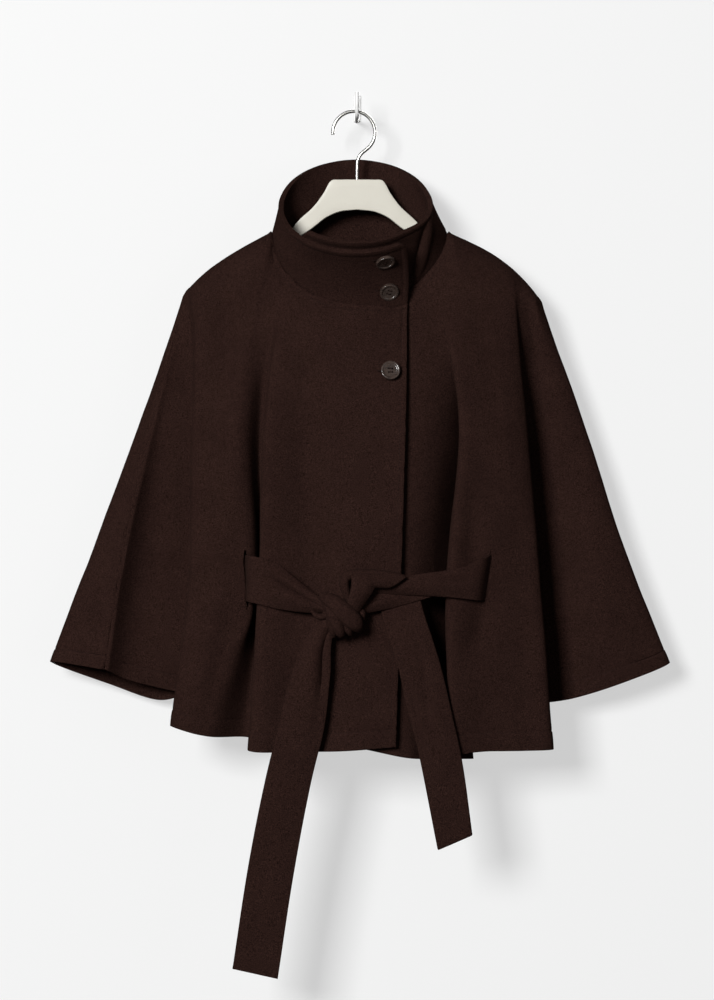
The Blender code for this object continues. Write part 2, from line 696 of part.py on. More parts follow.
def cloth_spot(grid, x, z, wall):
    """The outer face of a cloth grid as seen from the front at x, z: the point and the way out of it."""
    far = (grid[..., 0] - x) ** 2 + (grid[..., 2] - z) ** 2
    row, column = np.unravel_index(np.argmin(far), far.shape)
    row = min(max(row, 1), grid.shape[0] - 2)
    column = min(max(column, 1), grid.shape[1] - 2)
    down = grid[row + 1, column] - grid[row - 1, column]
    out = np.cross(down, grid[row, column + 1] - grid[row, column - 1])
    out /= np.linalg.norm(out)
    out *= math.copysign(1.0, out[1])
    near = grid[row, column] + out * wall
    depth = near[1] - (out[0] * (x - near[0]) + out[2] * (z - near[2])) / out[1]
    return np.array([x, depth, z]), out


def button_ring(seat, radius, rise, middle, sides):
    """A ring of points round a spot of a button; its seat is a base point, then sideways, up and out."""
    base, side, up, out = seat
    centre = base + side * middle[0] + up * middle[1] + out * rise
    turns = [2 * math.pi * number / sides for number in range(sides)]
    return [centre + radius * (math.cos(turn) * side + math.sin(turn) * up) for turn in turns]


def build_buttons(horn, sides=20, hole_sides=8):
    angles = np.linspace(COLLAR_START, BUTTONED_TO, BUTTONED_COLUMNS)
    shares = np.linspace(1, 0, BUTTONED_ROWS)
    collar = np.array([[collar_point(angle, share) for angle in angles] for share in shares])
    front = panel_grid((RIGHT_FRONT, RIGHT_SLEEVE_FRONT), (BELT_Z, SLEEVE_Z), 1, BUTTONED_FINER)[0]
    for button in BUTTONS:
        grid, wall = (collar, 0.0) if button.cloth == "collar" else (front, WOOL_WALL)
        spot, out = cloth_spot(grid, button.x, button.z, wall)
        side = np.cross(out, (0.0, 0.0, 1.0))
        side /= np.linalg.norm(side)
        seat = (spot + out * BUTTON_LIFT, side, np.cross(side, out), out)
        rings = [
            button_ring(seat, BUTTON_ACROSS / 2 * wide, BUTTON_THICK * high, (0.0, 0.0), sides)
            for wide, high in BUTTON_PROFILE
        ]
        made = rings_object(button.name, rings, horn)
        for number in range(BUTTON_HOLES):
            turn = math.radians(BUTTON_HOLE_TURN + 360 / BUTTON_HOLES * number)
            middle = (BUTTON_HOLE_OUT * math.cos(turn), BUTTON_HOLE_OUT * math.sin(turn))
            rises = (-BUTTON_THICK / 4, BUTTON_THICK * 5 / 4)
            rings = [button_ring(seat, BUTTON_HOLE_ACROSS / 2, rise, middle, hole_sides) for rise in rises]
            cut = made.modifiers.new("Hole", "BOOLEAN")
            cut.operation = "DIFFERENCE"
            cut.object = hidden(rings_object(f"{button.name}_hole_{number}", rings, horn))


def main():
    for old in list(bpy.data.objects):
        bpy.data.objects.remove(old)
    wool = material("brown wool", (0.021, 0.012, 0.010), 0.9)
    build_fronts(wool)
    build_back(wool)
    build_collar(wool)
    build_belt(wool)
    build_buttons(material("brown horn", (0.020, 0.013, 0.011), 0.3))
    cream = material("cream lacquer", (0.72, 0.68, 0.60), 0.45)
    build_hanger(cream, material("nickel wire", (0.80, 0.78, 0.74), 0.3, 1.0))
    build_wall_hook(material("white enamel", (0.85, 0.85, 0.84), 0.4))


main()
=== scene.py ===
"""The looks of a belted cape jacket of thick brown coat wool, hung on its hanger from a wall hook.

Cloth points are worked out in millimetres as (x, depth, z): x to the viewer's right, depth out from
the wall, z up from the middle of the wall plate. The scene is in metres, with the viewer on -y. The
wearer's right front is on the viewer's left.
"""

import functools
import math
from collections import namedtuple

import bmesh
import bpy
import numpy as np
from mathutils import Matrix, Vector, noise


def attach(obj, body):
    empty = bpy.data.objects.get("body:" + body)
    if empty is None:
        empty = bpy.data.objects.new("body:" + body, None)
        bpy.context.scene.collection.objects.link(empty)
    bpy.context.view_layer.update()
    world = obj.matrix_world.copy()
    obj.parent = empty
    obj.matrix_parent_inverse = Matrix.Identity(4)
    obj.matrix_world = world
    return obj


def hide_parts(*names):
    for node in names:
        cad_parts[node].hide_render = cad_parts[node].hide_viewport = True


bl_info = {
    "name": "Belted cape jacket",
    "version": (1, 0, 0),
    "blender": (4, 5, 0),
    "location": "3D View > Sidebar > Jacket",
    "description": "Dresses the packed jacket: wool shells, stitching, knot, buttons, hanger and hook",
    "category": "Object",
}

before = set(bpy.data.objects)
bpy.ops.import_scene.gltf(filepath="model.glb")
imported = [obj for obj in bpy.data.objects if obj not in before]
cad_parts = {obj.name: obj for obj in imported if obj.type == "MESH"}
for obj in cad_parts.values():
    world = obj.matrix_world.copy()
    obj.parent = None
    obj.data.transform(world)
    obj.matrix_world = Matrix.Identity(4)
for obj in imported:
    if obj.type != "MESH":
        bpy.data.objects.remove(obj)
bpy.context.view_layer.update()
BODY = "root"
MM = 0.001

# Heights at which the fold lines are measured
CHEST_Z = -345.0
BELT_Z = -552.0
SLEEVE_Z = -510.0
# Where those heights lie on a fold line, as shares of the way to the hem
STATION_SHARES = (0.0, 0.25, 0.625, 1.0)
UNDERARM_SHARE = 0.375
# Even rows down a panel, and close rows at its top and for the turned hem and its stitch line
ROWS_TO_UNDERARM = 34
ROWS_TO_HEM = 48
YOKE_SHARES = (0.004, 0.009, 0.0138, 0.018, 0.025, 0.034, 0.046, 0.06)
HEM_SHARES = (0.9515, 0.9565, 0.9595, 0.9625, 0.968, 0.976, 0.9955, 0.9985)
HEM_STITCH_SHARE = 0.9595
# Grid columns for each step of a fold
FINER = 5
# Close columns beside an edge or seam, in millimetres from it
EDGE_COLUMNS = (0.9, 2.4, 5.0, 6.2, 7.6)
SEAM_COLUMNS = (0.9, 2.6, 5.4)

# Neck seam: an oval from above, low at the front; angle 0 is the front, 90 the viewer's left
NECK_X = 3.5
NECK_HALF_WIDTH = 102.0
NECK_DEPTH = 57.0
NECK_HALF_DEPTH = 40.0
NECK_FRONT_Z = -236.0
NECK_SIDE_Z = -150.5
NECK_BACK_Z = -158.0
NECK_END_DROP = 12.0

# Collar: its upper edge is an oval that tips forward; it winds on past the front as the underlap
RIM_X = -1.5
RIM_HALF_WIDTH = 88.0
RIM_DEPTH = 84.0
RIM_HALF_DEPTH = 62.0
RIM_Z = -121.0
RIM_DROP = 59.0
COLLAR_START = -32.0
COLLAR_START_LEAN = 7.5
COLLAR_LEAN_OVER = 40.0
COLLAR_END = 409.0
KNEE_UPRIGHT = 0.3
UNDERLAP_FROM = 270.0
UNDERLAP_OVER = 50.0
UNDERLAP_IN = 10.0
UNDERLAP_UP = 1.2
# Collar grid: columns round it, even rows up it, the height that a row share stands for, the width of a
# degree and the rounding of its upper corners
COLLAR_COLUMNS = 230
COLLAR_ROWS = 22
COLLAR_HEIGHT = 74.0
COLLAR_MM_PER_DEGREE = 1.7
COLLAR_CORNER = 9.0
# A soft ridge runs from the rim down to the seam on the underlap's side, with a hollow before it
RIDGE_AT_BASE = 318.0
RIDGE_AT_RIM = 281.0
RIDGE_WIDTH = 6.0
RIDGE_RISE = 4.0
HOLLOW_OFF = 13.0
HOLLOW_WIDTH = 9.0
HOLLOW_RISE = -3.5
RIDGE_FADE = 0.3

# Shoulder seams run from the neck point to these tips, bowed up a little between
SHOULDER_TIP = {90: (-198.0, 50.0, -220.0), 270: (211.5, 49.0, -229.5)}
SHOULDER_BOW = {90: 8.0, 270: 13.0}
# Where the side seam and the sleeve seam meet, and the fold lines that pass through it
UNDERARM = {90: (-181.0, 50.0, -418.0), 270: (184.0, 50.0, -418.0)}
SEAM_FOLDS = ("side seam", "underarm")
# Cloth rounds over the hanger: how far it stands out, most at this share of the way to the hem. It
# fades where a panel's top is clear of the hanger, and toward the overarm
YOKE_ROUND = 18.0
YOKE_SHARE = 0.04
YOKE_FRONT_CLEAR = 78.0
YOKE_BACK_CLEAR = 22.0
YOKE_FADE = 34.0
YOKE_END_SHARE = 0.08

# A fold line: where it starts on the neck seam (degrees) and along the shoulder (share), then its x and
# depth at chest and belt height and its end at the hem; steps says how finely it is joined to the next
Fold = namedtuple("Fold", "name neck shoulder x_chest d_chest x_belt d_belt x_hem d_hem z_hem steps")

# Folds that lie flat between two others near the neck and open out lower down, at these row shares
Late = namedtuple("Late", "before after opens full")
LATE_FOLDS = (
    Late("centre crest", "side edge", 0.05, 0.30),
    Late("under edge", "panel crest", 0.08, 0.33),
)

RIGHT_FRONT = (
    Fold("front edge", -32, 0, 56, 121, 50, 126, 44, 130, -741, 3),
    Fold("centre", 0, 0, -6, 123, -8, 127, -14, 133, -746, 3),
    Fold("inner wave", 28, 0, -56, 116, -62, 120, -66, 126, -747, 3),
    Fold("centre crest", 54, 0, -100, 119, -109, 125, -120, 135, -746, 3),
    Fold("centre valley", 60, 0, -101, 94, -104, 88, -116, 93, -735, 2),
    Fold("valley floor", 66, 0, -111, 89, -112, 82, -130, 80, -733, 2),
    Fold("side edge", 74, 0, -127, 104, -121, 105, -168, 106, -731, 2),
    Fold("neck point", 90, 0, -137, 107, -139, 107, -180, 110, -729, 2),
    Fold("side wave", 90, 0.42, -152, 101, -164, 108, -192, 111, -726, 3),
    Fold("side crest", 90, 0.84, -186, 86, -191, 97, -212, 102, -719, 2),
    Fold("side seam", 90, 0.93, -181, 64, -176, 58, -185, 58, -716, 0),
)
RIGHT_SLEEVE_FRONT = (
    Fold("underarm", 90, 0.93, -181, 64, -186, 50, -198, 44, -684, 3),
    Fold("sleeve inner", 90, 0.955, -190, 58, -194, 47, -214, 44, -682, 3),
    Fold("sleeve outer", 90, 0.98, -219, 58, -248, 50, -271, 49, -667, 2),
    Fold("overarm", 90, 1.0, -231, 62, -269, 67, -292, 67, -656, 0),
)
LEFT_FRONT = (
    Fold("underlap edge", 392, 0, -52, 102, -50, 106, -46, 111, -738, 3),
    Fold("underlap centre", 360, 0, 0, 110, 0, 113, 0, 119, -743, 3),
    Fold("under edge", 326, 0, 60, 111, 62, 113, 58, 117, -755, 3),
    Fold("valley", 318, 0, 87, 103, 83, 97, 85, 98, -757, 3),
    Fold("pleat", 309, 0, 126, 66, 118, 54, 134, 98, -757, 3),
    Fold("panel crest", 300, 0, 118, 115, 105.5, 126, 107, 131, -751, 3),
    Fold("panel wave", 284, 0, 143, 111, 139, 118, 146, 122, -747, 2),
    Fold("neck point", 270, 0, 157, 106, 160, 113, 168, 117, -747, 2),
    Fold("side wave", 270, 0.36, 170, 101, 182, 108, 193, 113, -747, 3),
    Fold("side crest", 270, 0.68, 190, 88, 208, 100, 222, 106, -746, 2),
    Fold("side seam", 270, 0.78, 182, 64, 180, 58, 200, 58, -742, 0),
)
LEFT_SLEEVE_FRONT = (
    Fold("underarm", 270, 0.78, 182, 64, 199, 44, 213, 40, -697, 3),
    Fold("sleeve inner", 270, 0.85, 214, 51, 234, 47, 250, 46, -691, 3),
    Fold("sleeve outer", 270, 0.93, 233, 57, 270, 59, 303, 56, -674, 3),
    Fold("sleeve edge", 270, 0.98, 252, 50, 306, 51, 361, 49, -650, 2),
    Fold("overarm", 270, 1.0, 236, 33, 285, 28, 336, 24, -650, 0),
)
RIGHT_SLEEVE_BACK = (
    Fold("overarm", 90, 1.0, -231, 62, -269, 67, -292, 67, -656, 2),
    Fold("sleeve edge", 90, 0.985, -241, 44, -302, 43, -355, 41, -649, 3),
    Fold("sleeve back", 90, 0.965, -218, 27, -260, 24, -290, 24, -675, 3),
    Fold("sleeve back inner", 90, 0.945, -199, 27, -222, 24, -230, 23, -694, 2),
    Fold("underarm", 90, 0.93, -181, 28, -186, 50, -198, 44, -684, 0),
)
BACK = (
    Fold("side seam", 90, 0.93, -181, 28, -176, 58, -185, 58, -716, 2),
    Fold("back side", 90, 0.7, -165, 22, -152, 24, -160, 28, -726, 3),
    Fold("back wave", 90, 0.3, -118, 19, -112, 27, -118, 31, -734, 3),
    Fold("neck point", 90, 0, -80, 18, -70, 19, -74, 18, -738, 4),
    Fold("centre back", 180, 0, 2, 18, 0, 24, 0, 27, -740, 4),
    Fold("neck point", 270, 0, 84, 18, 72, 18, 76, 18, -740, 3),
    Fold("back wave", 270, 0.3, 124, 19, 118, 27, 124, 31, -742, 3),
    Fold("back side", 270, 0.7, 172, 22, 158, 24, 176, 28, -744, 2),
    Fold("side seam", 270, 0.93, 182, 28, 180, 58, 200, 58, -742, 0),
)
LEFT_SLEEVE_BACK = (
    Fold("underarm", 270, 0.93, 182, 28, 199, 44, 213, 40, -697, 2),
    Fold("sleeve back inner", 270, 0.95, 204, 27, 228, 24, 240, 23, -686, 3),
    Fold("sleeve back", 270, 0.975, 222, 26, 258, 22, 296, 22, -666, 2),
    Fold("overarm", 270, 1.0, 236, 33, 285, 28, 336, 24, -650, 0),
)

# A crease in a panel, as seen from the front: the line it runs along, how far that line bows to the
# viewer's right, its half width and how far it stands proud (a trough is below zero)
Crease = namedtuple("Crease", "cloth x_from z_from x_to z_to bow width rise")

CREASES = (
    Crease("front_right", -160, -570, -186, -690, -3, 14, 4),
    Crease("front_right", -62, -395, -52, -575, 3, 15, -3.5),
    Crease("front_right", -30, -500, -40, -566, 2, 12, -2),
    Crease("front_right", -128, -300, -142, -470, 2, 16, 2.5),
    Crease("front_right", -176, -262, -184, -470, -2, 12, 2),
    Crease("front_right", -16, -640, -24, -742, 2, 22, -2.5),
    Crease("front_right", -152, -232, -147, -345, 0, 11, -4),
    Crease("front_right", -226, -420, -262, -650, 4, 18, -2),
    Crease("front_right", -206, -330, -214, -560, -3, 14, 2),
    Crease("front_right", -40, -262, 20, -290, 4, 14, -1.5),
    Crease("front_left", 128, -440, 130, -545, 2, 11, -3),
    Crease("front_left", 150, -560, 122, -640, 5, 14, -3),
    Crease("front_left", 172, -300, 178, -480, 3, 16, 2),
    Crease("front_left", 112, -300, 106, -420, -2, 12, 2),
    Crease("front_left", 196, -236, 206, -300, 3, 9, -3),
    Crease("front_left", 262, -420, 300, -640, -4, 22, 2.5),
    Crease("front_left", 240, -360, 262, -560, 3, 16, -2),
    Crease("front_left", 180, -600, 196, -740, 3, 18, -2),
    Crease("back", -40, -230, -52, -640, 4, 24, -3),
    Crease("back", 36, -250, 46, -700, -4, 22, 3),
    Crease("back", -96, -330, -92, -720, 3, 16, 3),
    Crease("back", 100, -320, 98, -620, -3, 18, -3),
    Crease("back", -150, -300, -120, -420, 6, 12, 2.5),
    Crease("back", 156, -310, 128, -430, -6, 12, 2.5),
    Crease("back", -224, -400, -262, -650, 4, 16, 2),
    Crease("back", 228, -400, 262, -640, -4, 16, 2),
    Crease("back", 10, -420, 2, -600, 3, 14, -2),
)
# A crease runs out past its ends and fades there, as shares of its length, and on cloth turned aside
CREASE_RUN_OUT = 0.2
CREASE_FADE = 0.45
CREASE_FACING = 2.0
# Small unevenness of the hung cloth: wave length and height, and its share on the firmer pieces
DRAPE_WAVE = 62.0
DRAPE_RISE = 0.9
RIPPLE_WAVE = 21.0
RIPPLE_RISE = 0.22
COLLAR_DRAPE = 0.7
BELT_DRAPE = 0.5

# A belt slit: the panel it is in, its upper and lower end, and how far its lips are drawn off the cut:
# the one toward the front edge, and the one toward the side seam
Slit = namedtuple("Slit", "cloth x_up z_up x_low z_low front_lip side_lip")
SLITS = (
    Slit("front_right", -127.5, -521.0, -125.5, -580.0, 1.6, -3.2),
    Slit("front_left", 151.4, -521.0, 144.7, -578.0, -1.0, 1.4),
)
# How far the cloth is drawn onto the slit's line beyond its ends, and across in grid columns
SLIT_REACH = 60.0
SLIT_COLUMNS = 6.0

# A belt stretch, station by station: its upper and lower edge, how far its middle stands proud, and
# a lengthwise dimple: how deep it is and where it lies across
Station = namedtuple("Station", "x_up d_up z_up x_low d_low z_low crown dimple dimple_at")
DIMPLE_WIDTH = 0.13

BELT_STRETCHES = {
    "belt_right_run": (
        Station(-127, 92, -523, -126.5, 92, -575, 0, 0, 0.4),
        Station(-123, 110, -523, -122.5, 110, -575.5, 0, 0, 0.4),
        Station(-119, 125, -524, -120, 125, -576, 1, 0, 0.4),
        Station(-107, 131, -527, -105, 131, -579, 3, -2, 0.4),
        Station(-93, 132.5, -533.5, -88, 132, -582.5, 5, -6, 0.4),
        Station(-76, 134, -547.5, -68, 133, -584.5, 6, -9, 0.42),
        Station(-58, 138, -562.5, -50, 136, -585.5, 5, -8, 0.45),
        Station(-45, 142, -572, -37, 140, -585, 4, -4, 0.5),
        Station(-34, 144, -579, -28, 143, -590, 3, 0, 0.5),
    ),
    "belt_left_run": (
        Station(12, 140, -560.5, 12, 139, -565, 1, 0, 0.5),
        Station(34, 139.5, -556.5, 32, 138.5, -564, 2, 0, 0.4),
        Station(54, 138.5, -550.5, 50, 137.5, -565, 3, 0, 0.4),
        Station(71.5, 137, -546, 69.5, 136, -566, 3, 0, 0.4),
        Station(98, 134.5, -542, 93.5, 134, -568, 3, -1, 0.4),
        Station(124, 131.5, -536, 118, 131.5, -571, 2, -1.5, 0.4),
        Station(142, 127, -526.5, 134, 127, -573.5, 1, 0, 0.4),
        Station(149, 117, -522, 141, 117, -574, 0, 0, 0.4),
        Station(152.5, 102, -521.5, 147, 102, -574.5, 0, 0, 0.4),
    ),
    "belt_left_fold": (
        Station(-4, 145, -581, -1, 145, -587, 2, 0, 0.5),
        Station(14, 139, -568, 19, 138.5, -584, 4, -1.5, 0.5),
        Station(36, 134.5, -562, 37, 134.5, -581, 3, 0, 0.5),
        Station(61, 132.5, -560, 59, 132.5, -576, 1, 0, 0.5),
        Station(86, 131, -562, 84, 131, -570, 0, 0, 0.5),
    ),
    "belt_loop": (
        Station(-9, 151, -543, 56, 147, -547.5, 1, 0, 0.5),
        Station(-7, 156, -546, 40, 150, -556, 3, 0, 0.4),
        Station(-5, 158.5, -553, 21, 153, -556.5, 4, -1, 0.4),
        Station(-6, 159, -565, 14, 155, -564.5, 4, -1, 0.5),
        Station(-8.5, 157, -576, 2.5, 154, -581, 3, 0, 0.5),
        Station(-8, 153, -587, 0, 151, -588, 2, 0, 0.5),
    ),
    "belt_inside": (
        Station(-131, 94, -523.5, -132, 94, -575.5, 0, 0, 0.5),
        Station(-164, 74, -523, -164, 74, -575, 0, 0, 0.5),
        Station(-146, 42, -522, -146, 42, -574, 0, 0, 0.5),
        Station(-80, 33, -520, -80, 33, -572, 0, 0, 0.5),
        Station(0, 34, -520, 0, 34, -572, 0, 0, 0.5),
        Station(90, 33, -520, 90, 33, -572, 0, 0, 0.5),
        Station(150, 42, -521, 150, 42, -573, 0, 0, 0.5),
        Station(170, 74, -522, 170, 74, -574, 0, 0, 0.5),
        Station(153.5, 103, -523, 149, 103, -576, 0, 0, 0.5),
    ),
    "belt_tail_long": (
        Station(-30, 141, -590, -20, 143, -598, 2, 0, 0.7),
        Station(-47, 139, -607, -29, 142, -611, 5, -4, 0.72),
        Station(-59, 139, -626, -31.5, 142, -630, 6, -9, 0.72),
        Station(-69.5, 139.5, -651, -31, 141.5, -655, 6, -9, 0.75),
        Station(-79.8, 140, -682, -33.4, 140.5, -684, 4, -3, 0.8),
        Station(-87, 140, -713, -38, 140.5, -718, 3, -1, 0.8),
        Station(-103, 140, -775, -53, 140, -782, 2, 0, 0.6),
        Station(-123, 138, -874, -72, 138, -884, 1, -1, 0.4),
        Station(-141.5, 136, -992.5, -90, 136, -1004, 0, 0, 0.5),
    ),
    "belt_tail_short": (
        Station(25, 130, -566, 69, 128, -560, 0, 0, 0.5),
        Station(28, 131.5, -589, 76, 130.5, -589, 1, 0, 0.5),
        Station(36, 134.5, -618, 85, 133, -618, 3, 0, 0.5),
        Station(46, 137, -644, 94.5, 135, -650, 4, -2, 0.6),
        Station(56, 138.5, -692, 107, 136, -702, 3, -2, 0.45),
        Station(69, 139, -742, 119, 137, -757, 2, 0, 0.4),
        Station(92, 136, -858, 131, 136, -841, 1, 0, 0.5),
    ),
}

# The knot: rolls of belt that cross over one another, each with its centre, half width and half depth
Lump = namedtuple("Lump", "x d z half_width half_depth")
LOOP_ROLL = (
    Lump(-8, 149, -578, 3, 5),
    Lump(-11.5, 149.5, -566, 5, 8),
    Lump(-14, 150, -555, 6.2, 9),
    Lump(-12.5, 150, -548.5, 6.4, 9),
    Lump(-7, 150, -545, 6, 8.5),
    Lump(3, 150, -543.5, 5.5, 8),
    Lump(19, 149.5, -543.5, 5, 7),
    Lump(37, 148, -544.5, 3.8, 5.5),
    Lump(54, 146.5, -546.5, 1.6, 3),
)
KNOT_ROLLS = (
    (
        Lump(-42, 149, -570, 3, 3.5),
        Lump(-35.5, 153, -571, 7, 7),
        Lump(-24.5, 157, -578, 10, 9),
        Lump(-12.5, 159, -589, 11.5, 10),
        Lump(-2.5, 157, -599, 10, 9),
        Lump(1.5, 152, -605.5, 6, 6),
        Lump(3.5, 149, -609, 2.5, 2.5),
    ),
    (
        Lump(-39, 148, -574, 2.5, 4),
        Lump(-31, 153, -584, 6, 8),
        Lump(-24.5, 155, -596, 7.5, 9),
        Lump(-19, 152, -609, 6.5, 7.5),
        Lump(-17.5, 148, -615, 3, 3.5),
    ),
    (
        Lump(-33.5, 146, -587, 2.5, 4),
        Lump(-29.5, 150, -598, 5, 7),
        Lump(-27, 149, -609, 4.5, 6),
        Lump(-25.5, 146, -615, 2.5, 3),
    ),
    (
        Lump(-16, 151, -595, 3.5, 5),
        Lump(-10.5, 153, -604.5, 5, 7),
        Lump(-7.5, 149, -612, 3, 4),
    ),
    (
        Lump(1, 148, -582, 2.5, 4),
        Lump(6, 150, -588, 4, 5),
        Lump(7, 147, -594.5, 2.5, 3),
    ),
    (
        Lump(-52, 141, -586, 1.5, 2.5),
        Lump(-44, 143, -592, 3.5, 4),
        Lump(-35.5, 145, -591.5, 4, 5),
        Lump(-30, 146, -587, 3, 4),
    ),
    (
        Lump(-38, 145, -585, 5, 4),
        Lump(-18, 147, -591, 14, 7),
        Lump(3, 145, -589, 6, 4),
    ),
)

# The hanger's outline, from its middle to one tip: upper and lower edge
Rib = namedtuple("Rib", "x z_top z_low")
HANGER = (
    Rib(0, -88, -123),
    Rib(19, -88.2, -125),
    Rib(29, -88.8, -128.5),
    Rib(33, -93, -130.5),
    Rib(38, -102.5, -133.5),
    Rib(50, -119, -143),
    Rib(70, -138, -158),
    Rib(98, -177, -192),
    Rib(150, -208, -221),
    Rib(172, -223, -232),
    Rib(179, -230, -235),
)
HANGER_DEPTH = 50.0

# The hanger's wire: a round hook, then a swan neck down to the board
HOOK_X = -3.5
HOOK_Z = -33.0
HOOK_RADIUS = 24.5
HOOK_FROM = 186.0
HOOK_TO = -48.0
SWAN_NECK = ((4.0, -59.0), (0.5, -67.0), (0.0, -76.0), (0.0, -89.5))

# The wall hook: its rod runs out under the wire and turns up before it, each point as (depth, z)
ROD = (
    (2.0, -14.9), (20.0, -14.9), (45.0, -14.9), (53.0, -12.2), (57.0, -4.0), (57.5, 5.0), (57.5, 12.5),
)

# Extra wall beside a stitched edge: how far in it is, and how far the cloth stands proud there. Edges
# and seams go by millimetres, the hem, neck and shoulder by row shares
EDGE_PUFF = ((0.0, 0.5), (2.4, 0.95), (5.0, 0.45), (6.2, -0.2), (7.6, 0.0))
HEM_PUFF = ((0.9515, 0.0), (0.9565, -0.1), (0.9595, -0.5), (0.9625, 0.3), (0.976, 0.6), (1.0, 0.4))
NECK_PUFF = ((0.0, 0.0), (0.004, 0.55), (0.009, 0.5), (0.0138, -0.35), (0.024, 0.0))
NECK_STITCH_SHARE = 0.0138
SEAM_PUFF = ((0.0, -2.0), (0.9, -1.2), (2.6, 0.7), (5.4, 0.45), (9.0, 0.0))
SHOULDER_PUFF = ((0.0, -0.9), (0.004, 0.0), (0.009, 0.4), (0.018, 0.25), (0.034, 0.0))

# Stitch lines run this far in from an edge, and a neck seam has more than this many points
STITCH_FROM_EDGE = 6.2
SHORTEST_SEAM = 4
# A stitch: rings along it as share of its half length and share of its half width
STITCH_RINGS = ((-1.0, 0.45), (-0.62, 1.0), (0.62, 1.0), (1.0, 0.45))
STITCH_SIDES = 6
STITCH_FLAT = 0.42
# Rims of the doubled pieces are rounded this much
COLLAR_RIM = 2.0
BELT_RIM = 1.5
# Edges are rounded where faces meet at more than these degrees, and shaded smooth below the last
CLOTH_EDGE = 50.0
WIRE_EDGE = 60.0
BUTTON_EDGE = 25.0
BOARD_EDGE = 45.0
PLATE_EDGE = 30.0
SMOOTH_BELOW = 40.0
# Points along a wire's bend, and how close doubled points are merged, in metres
HOOK_STEPS = 48
WELD_WITHIN = 0.00001
# Each button with how far it tips down on its shank, and is turned, in degrees
Tilt = namedtuple("Tilt", "tip turn")
BUTTONS = {
    "button_collar_upper": Tilt(12.0, 0.0),
    "button_collar_lower": Tilt(9.0, -12.0),
    "button_front": Tilt(0.0, 0.0),
}
# How far a button stands off the cloth, in metres; shares of its rim for the slope and the rounding
BUTTON_LIFT = 0.0008
BUTTON_SLOPE = 0.45
BUTTON_ROUND = 0.42
FACING_UP = 0.9
# The sewing thread over a button: its width in hole radii, and its lift as a share of that width
SEWING_WIDTH = 1.3
SEWING_LIFT = 0.2
# A buttonhole's worked end: how far it shows past the button, is tucked under it, and its width
BUTTONHOLE_END = 4.5
BUTTONHOLE_TUCK = 2.0
BUTTONHOLE_WIDTH = 1.7
# The thread's colour as a share of the wool's: darker than the wool, as painted shade of the stitch
# holes and buttonhole ends
THREAD_WITH_PAINTED_SHADE = 0.72
# Where along a belt stretch its outer face looks forward, if not at its middle
FRONT_AT = {"belt_left_run": 0.3, "belt_inside": 0.02}

# How each cloth piece is cut: width and length of the rectangle it comes from, its area, how it is
# held and what it rests on
Cut = namedtuple("Cut", "flat area held rests_on")

# The painted wall, the lights and the camera
WALL_SIZE = 12.0
WALL_BEHIND = 0.001
WALL_GLOW = 0.575
LOOK_AT = Vector((0.0, -0.09, -0.5))
KEY_PLACE = (-2.2, -5.0, 1.05)
KEY_SIZE = 1.6
FILL_PLACE = (4.0, -4.0, -0.4)
FILL_SIZE = 3.0
REAR_PLACE = (0.8, 2.4, 0.8)
REAR_SIZE = 2.0
CAMERA_PLACE = (0.0, -4.09, -0.46)
CAMERA_LENS = 125.2
CAMERA_REACH = 50.0
ROOM_TINT = (1.0, 0.995, 0.985, 1.0)

# Colours of the small metal pieces, and shares of the wool's colour between which its nap goes
PLATING = (0.62, 0.61, 0.58)
ENAMEL = (0.80, 0.80, 0.79)
NAP_DARK = 0.2
NAP_LIGHT = 1.9
# Steps closer than this, in millimetres, are spaced as if they were this long
SHORTEST_STEP = 0.5


def metres(points):
    """The points (x, depth, z) in millimetres as scene coordinates in metres."""
    points = np.asarray(points, float)
    return np.stack([points[..., 0], -points[..., 1], points[..., 2]], axis=-1) * MM


def through(points, knots, at):
    """A smooth curve through the points, which it passes at the knots, read at the given places."""
    points = np.asarray(points, float)
    knots = np.asarray(knots, float)
    at = np.asarray(at, float)
    slopes = np.gradient(points, knots, axis=0)
    span = np.clip(np.searchsorted(knots, at, side="right") - 1, 0, len(knots) - 2)
    length = (knots[span + 1] - knots[span])[:, None]
    t = ((at - knots[span])[:, None]) / length
    start = (2 * t**3 - 3 * t**2 + 1) * points[span] + (t**3 - 2 * t**2 + t) * length * slopes[span]
    stop = (3 * t**2 - 2 * t**3) * points[span + 1] + (t**3 - t**2) * length * slopes[span + 1]
    return start + stop


def even_knots(points):
    """Knots for a curve through unevenly spaced points, so that it doesn't swing out between them."""
    steps = np.linalg.norm(np.diff(np.asarray(points, float), axis=0), axis=1)
    return np.concatenate([[0.0], np.cumsum(np.sqrt(np.maximum(steps, SHORTEST_STEP)))])


def eased(t):
    t = np.clip(t, 0.0, 1.0)
    return t * t * (3 - 2 * t)


def neck_point(angle):
    turn = math.radians(angle)
    inset = UNDERLAP_IN * eased((angle - UNDERLAP_FROM) / UNDERLAP_OVER)
    side_to = NECK_FRONT_Z if math.cos(turn) > 0 else NECK_BACK_Z
    drop = NECK_END_DROP * eased(angle / COLLAR_START)
    return np.array([
        NECK_X - (NECK_HALF_WIDTH - inset) * math.sin(turn),
        NECK_DEPTH + (NECK_HALF_DEPTH - inset) * math.cos(turn),
        NECK_SIDE_Z + (side_to - NECK_SIDE_Z) * abs(math.cos(turn)) - drop,
    ])


def rim_point(angle):
    turn = math.radians(angle)
    inset = UNDERLAP_IN * eased((angle - UNDERLAP_FROM) / UNDERLAP_OVER)
    return np.array([
        RIM_X - (RIM_HALF_WIDTH - inset) * math.sin(turn),
        RIM_DEPTH + (RIM_HALF_DEPTH - inset) * math.cos(turn),
        RIM_Z - (RIM_DROP - UNDERLAP_UP * inset) * math.cos(turn),
    ])


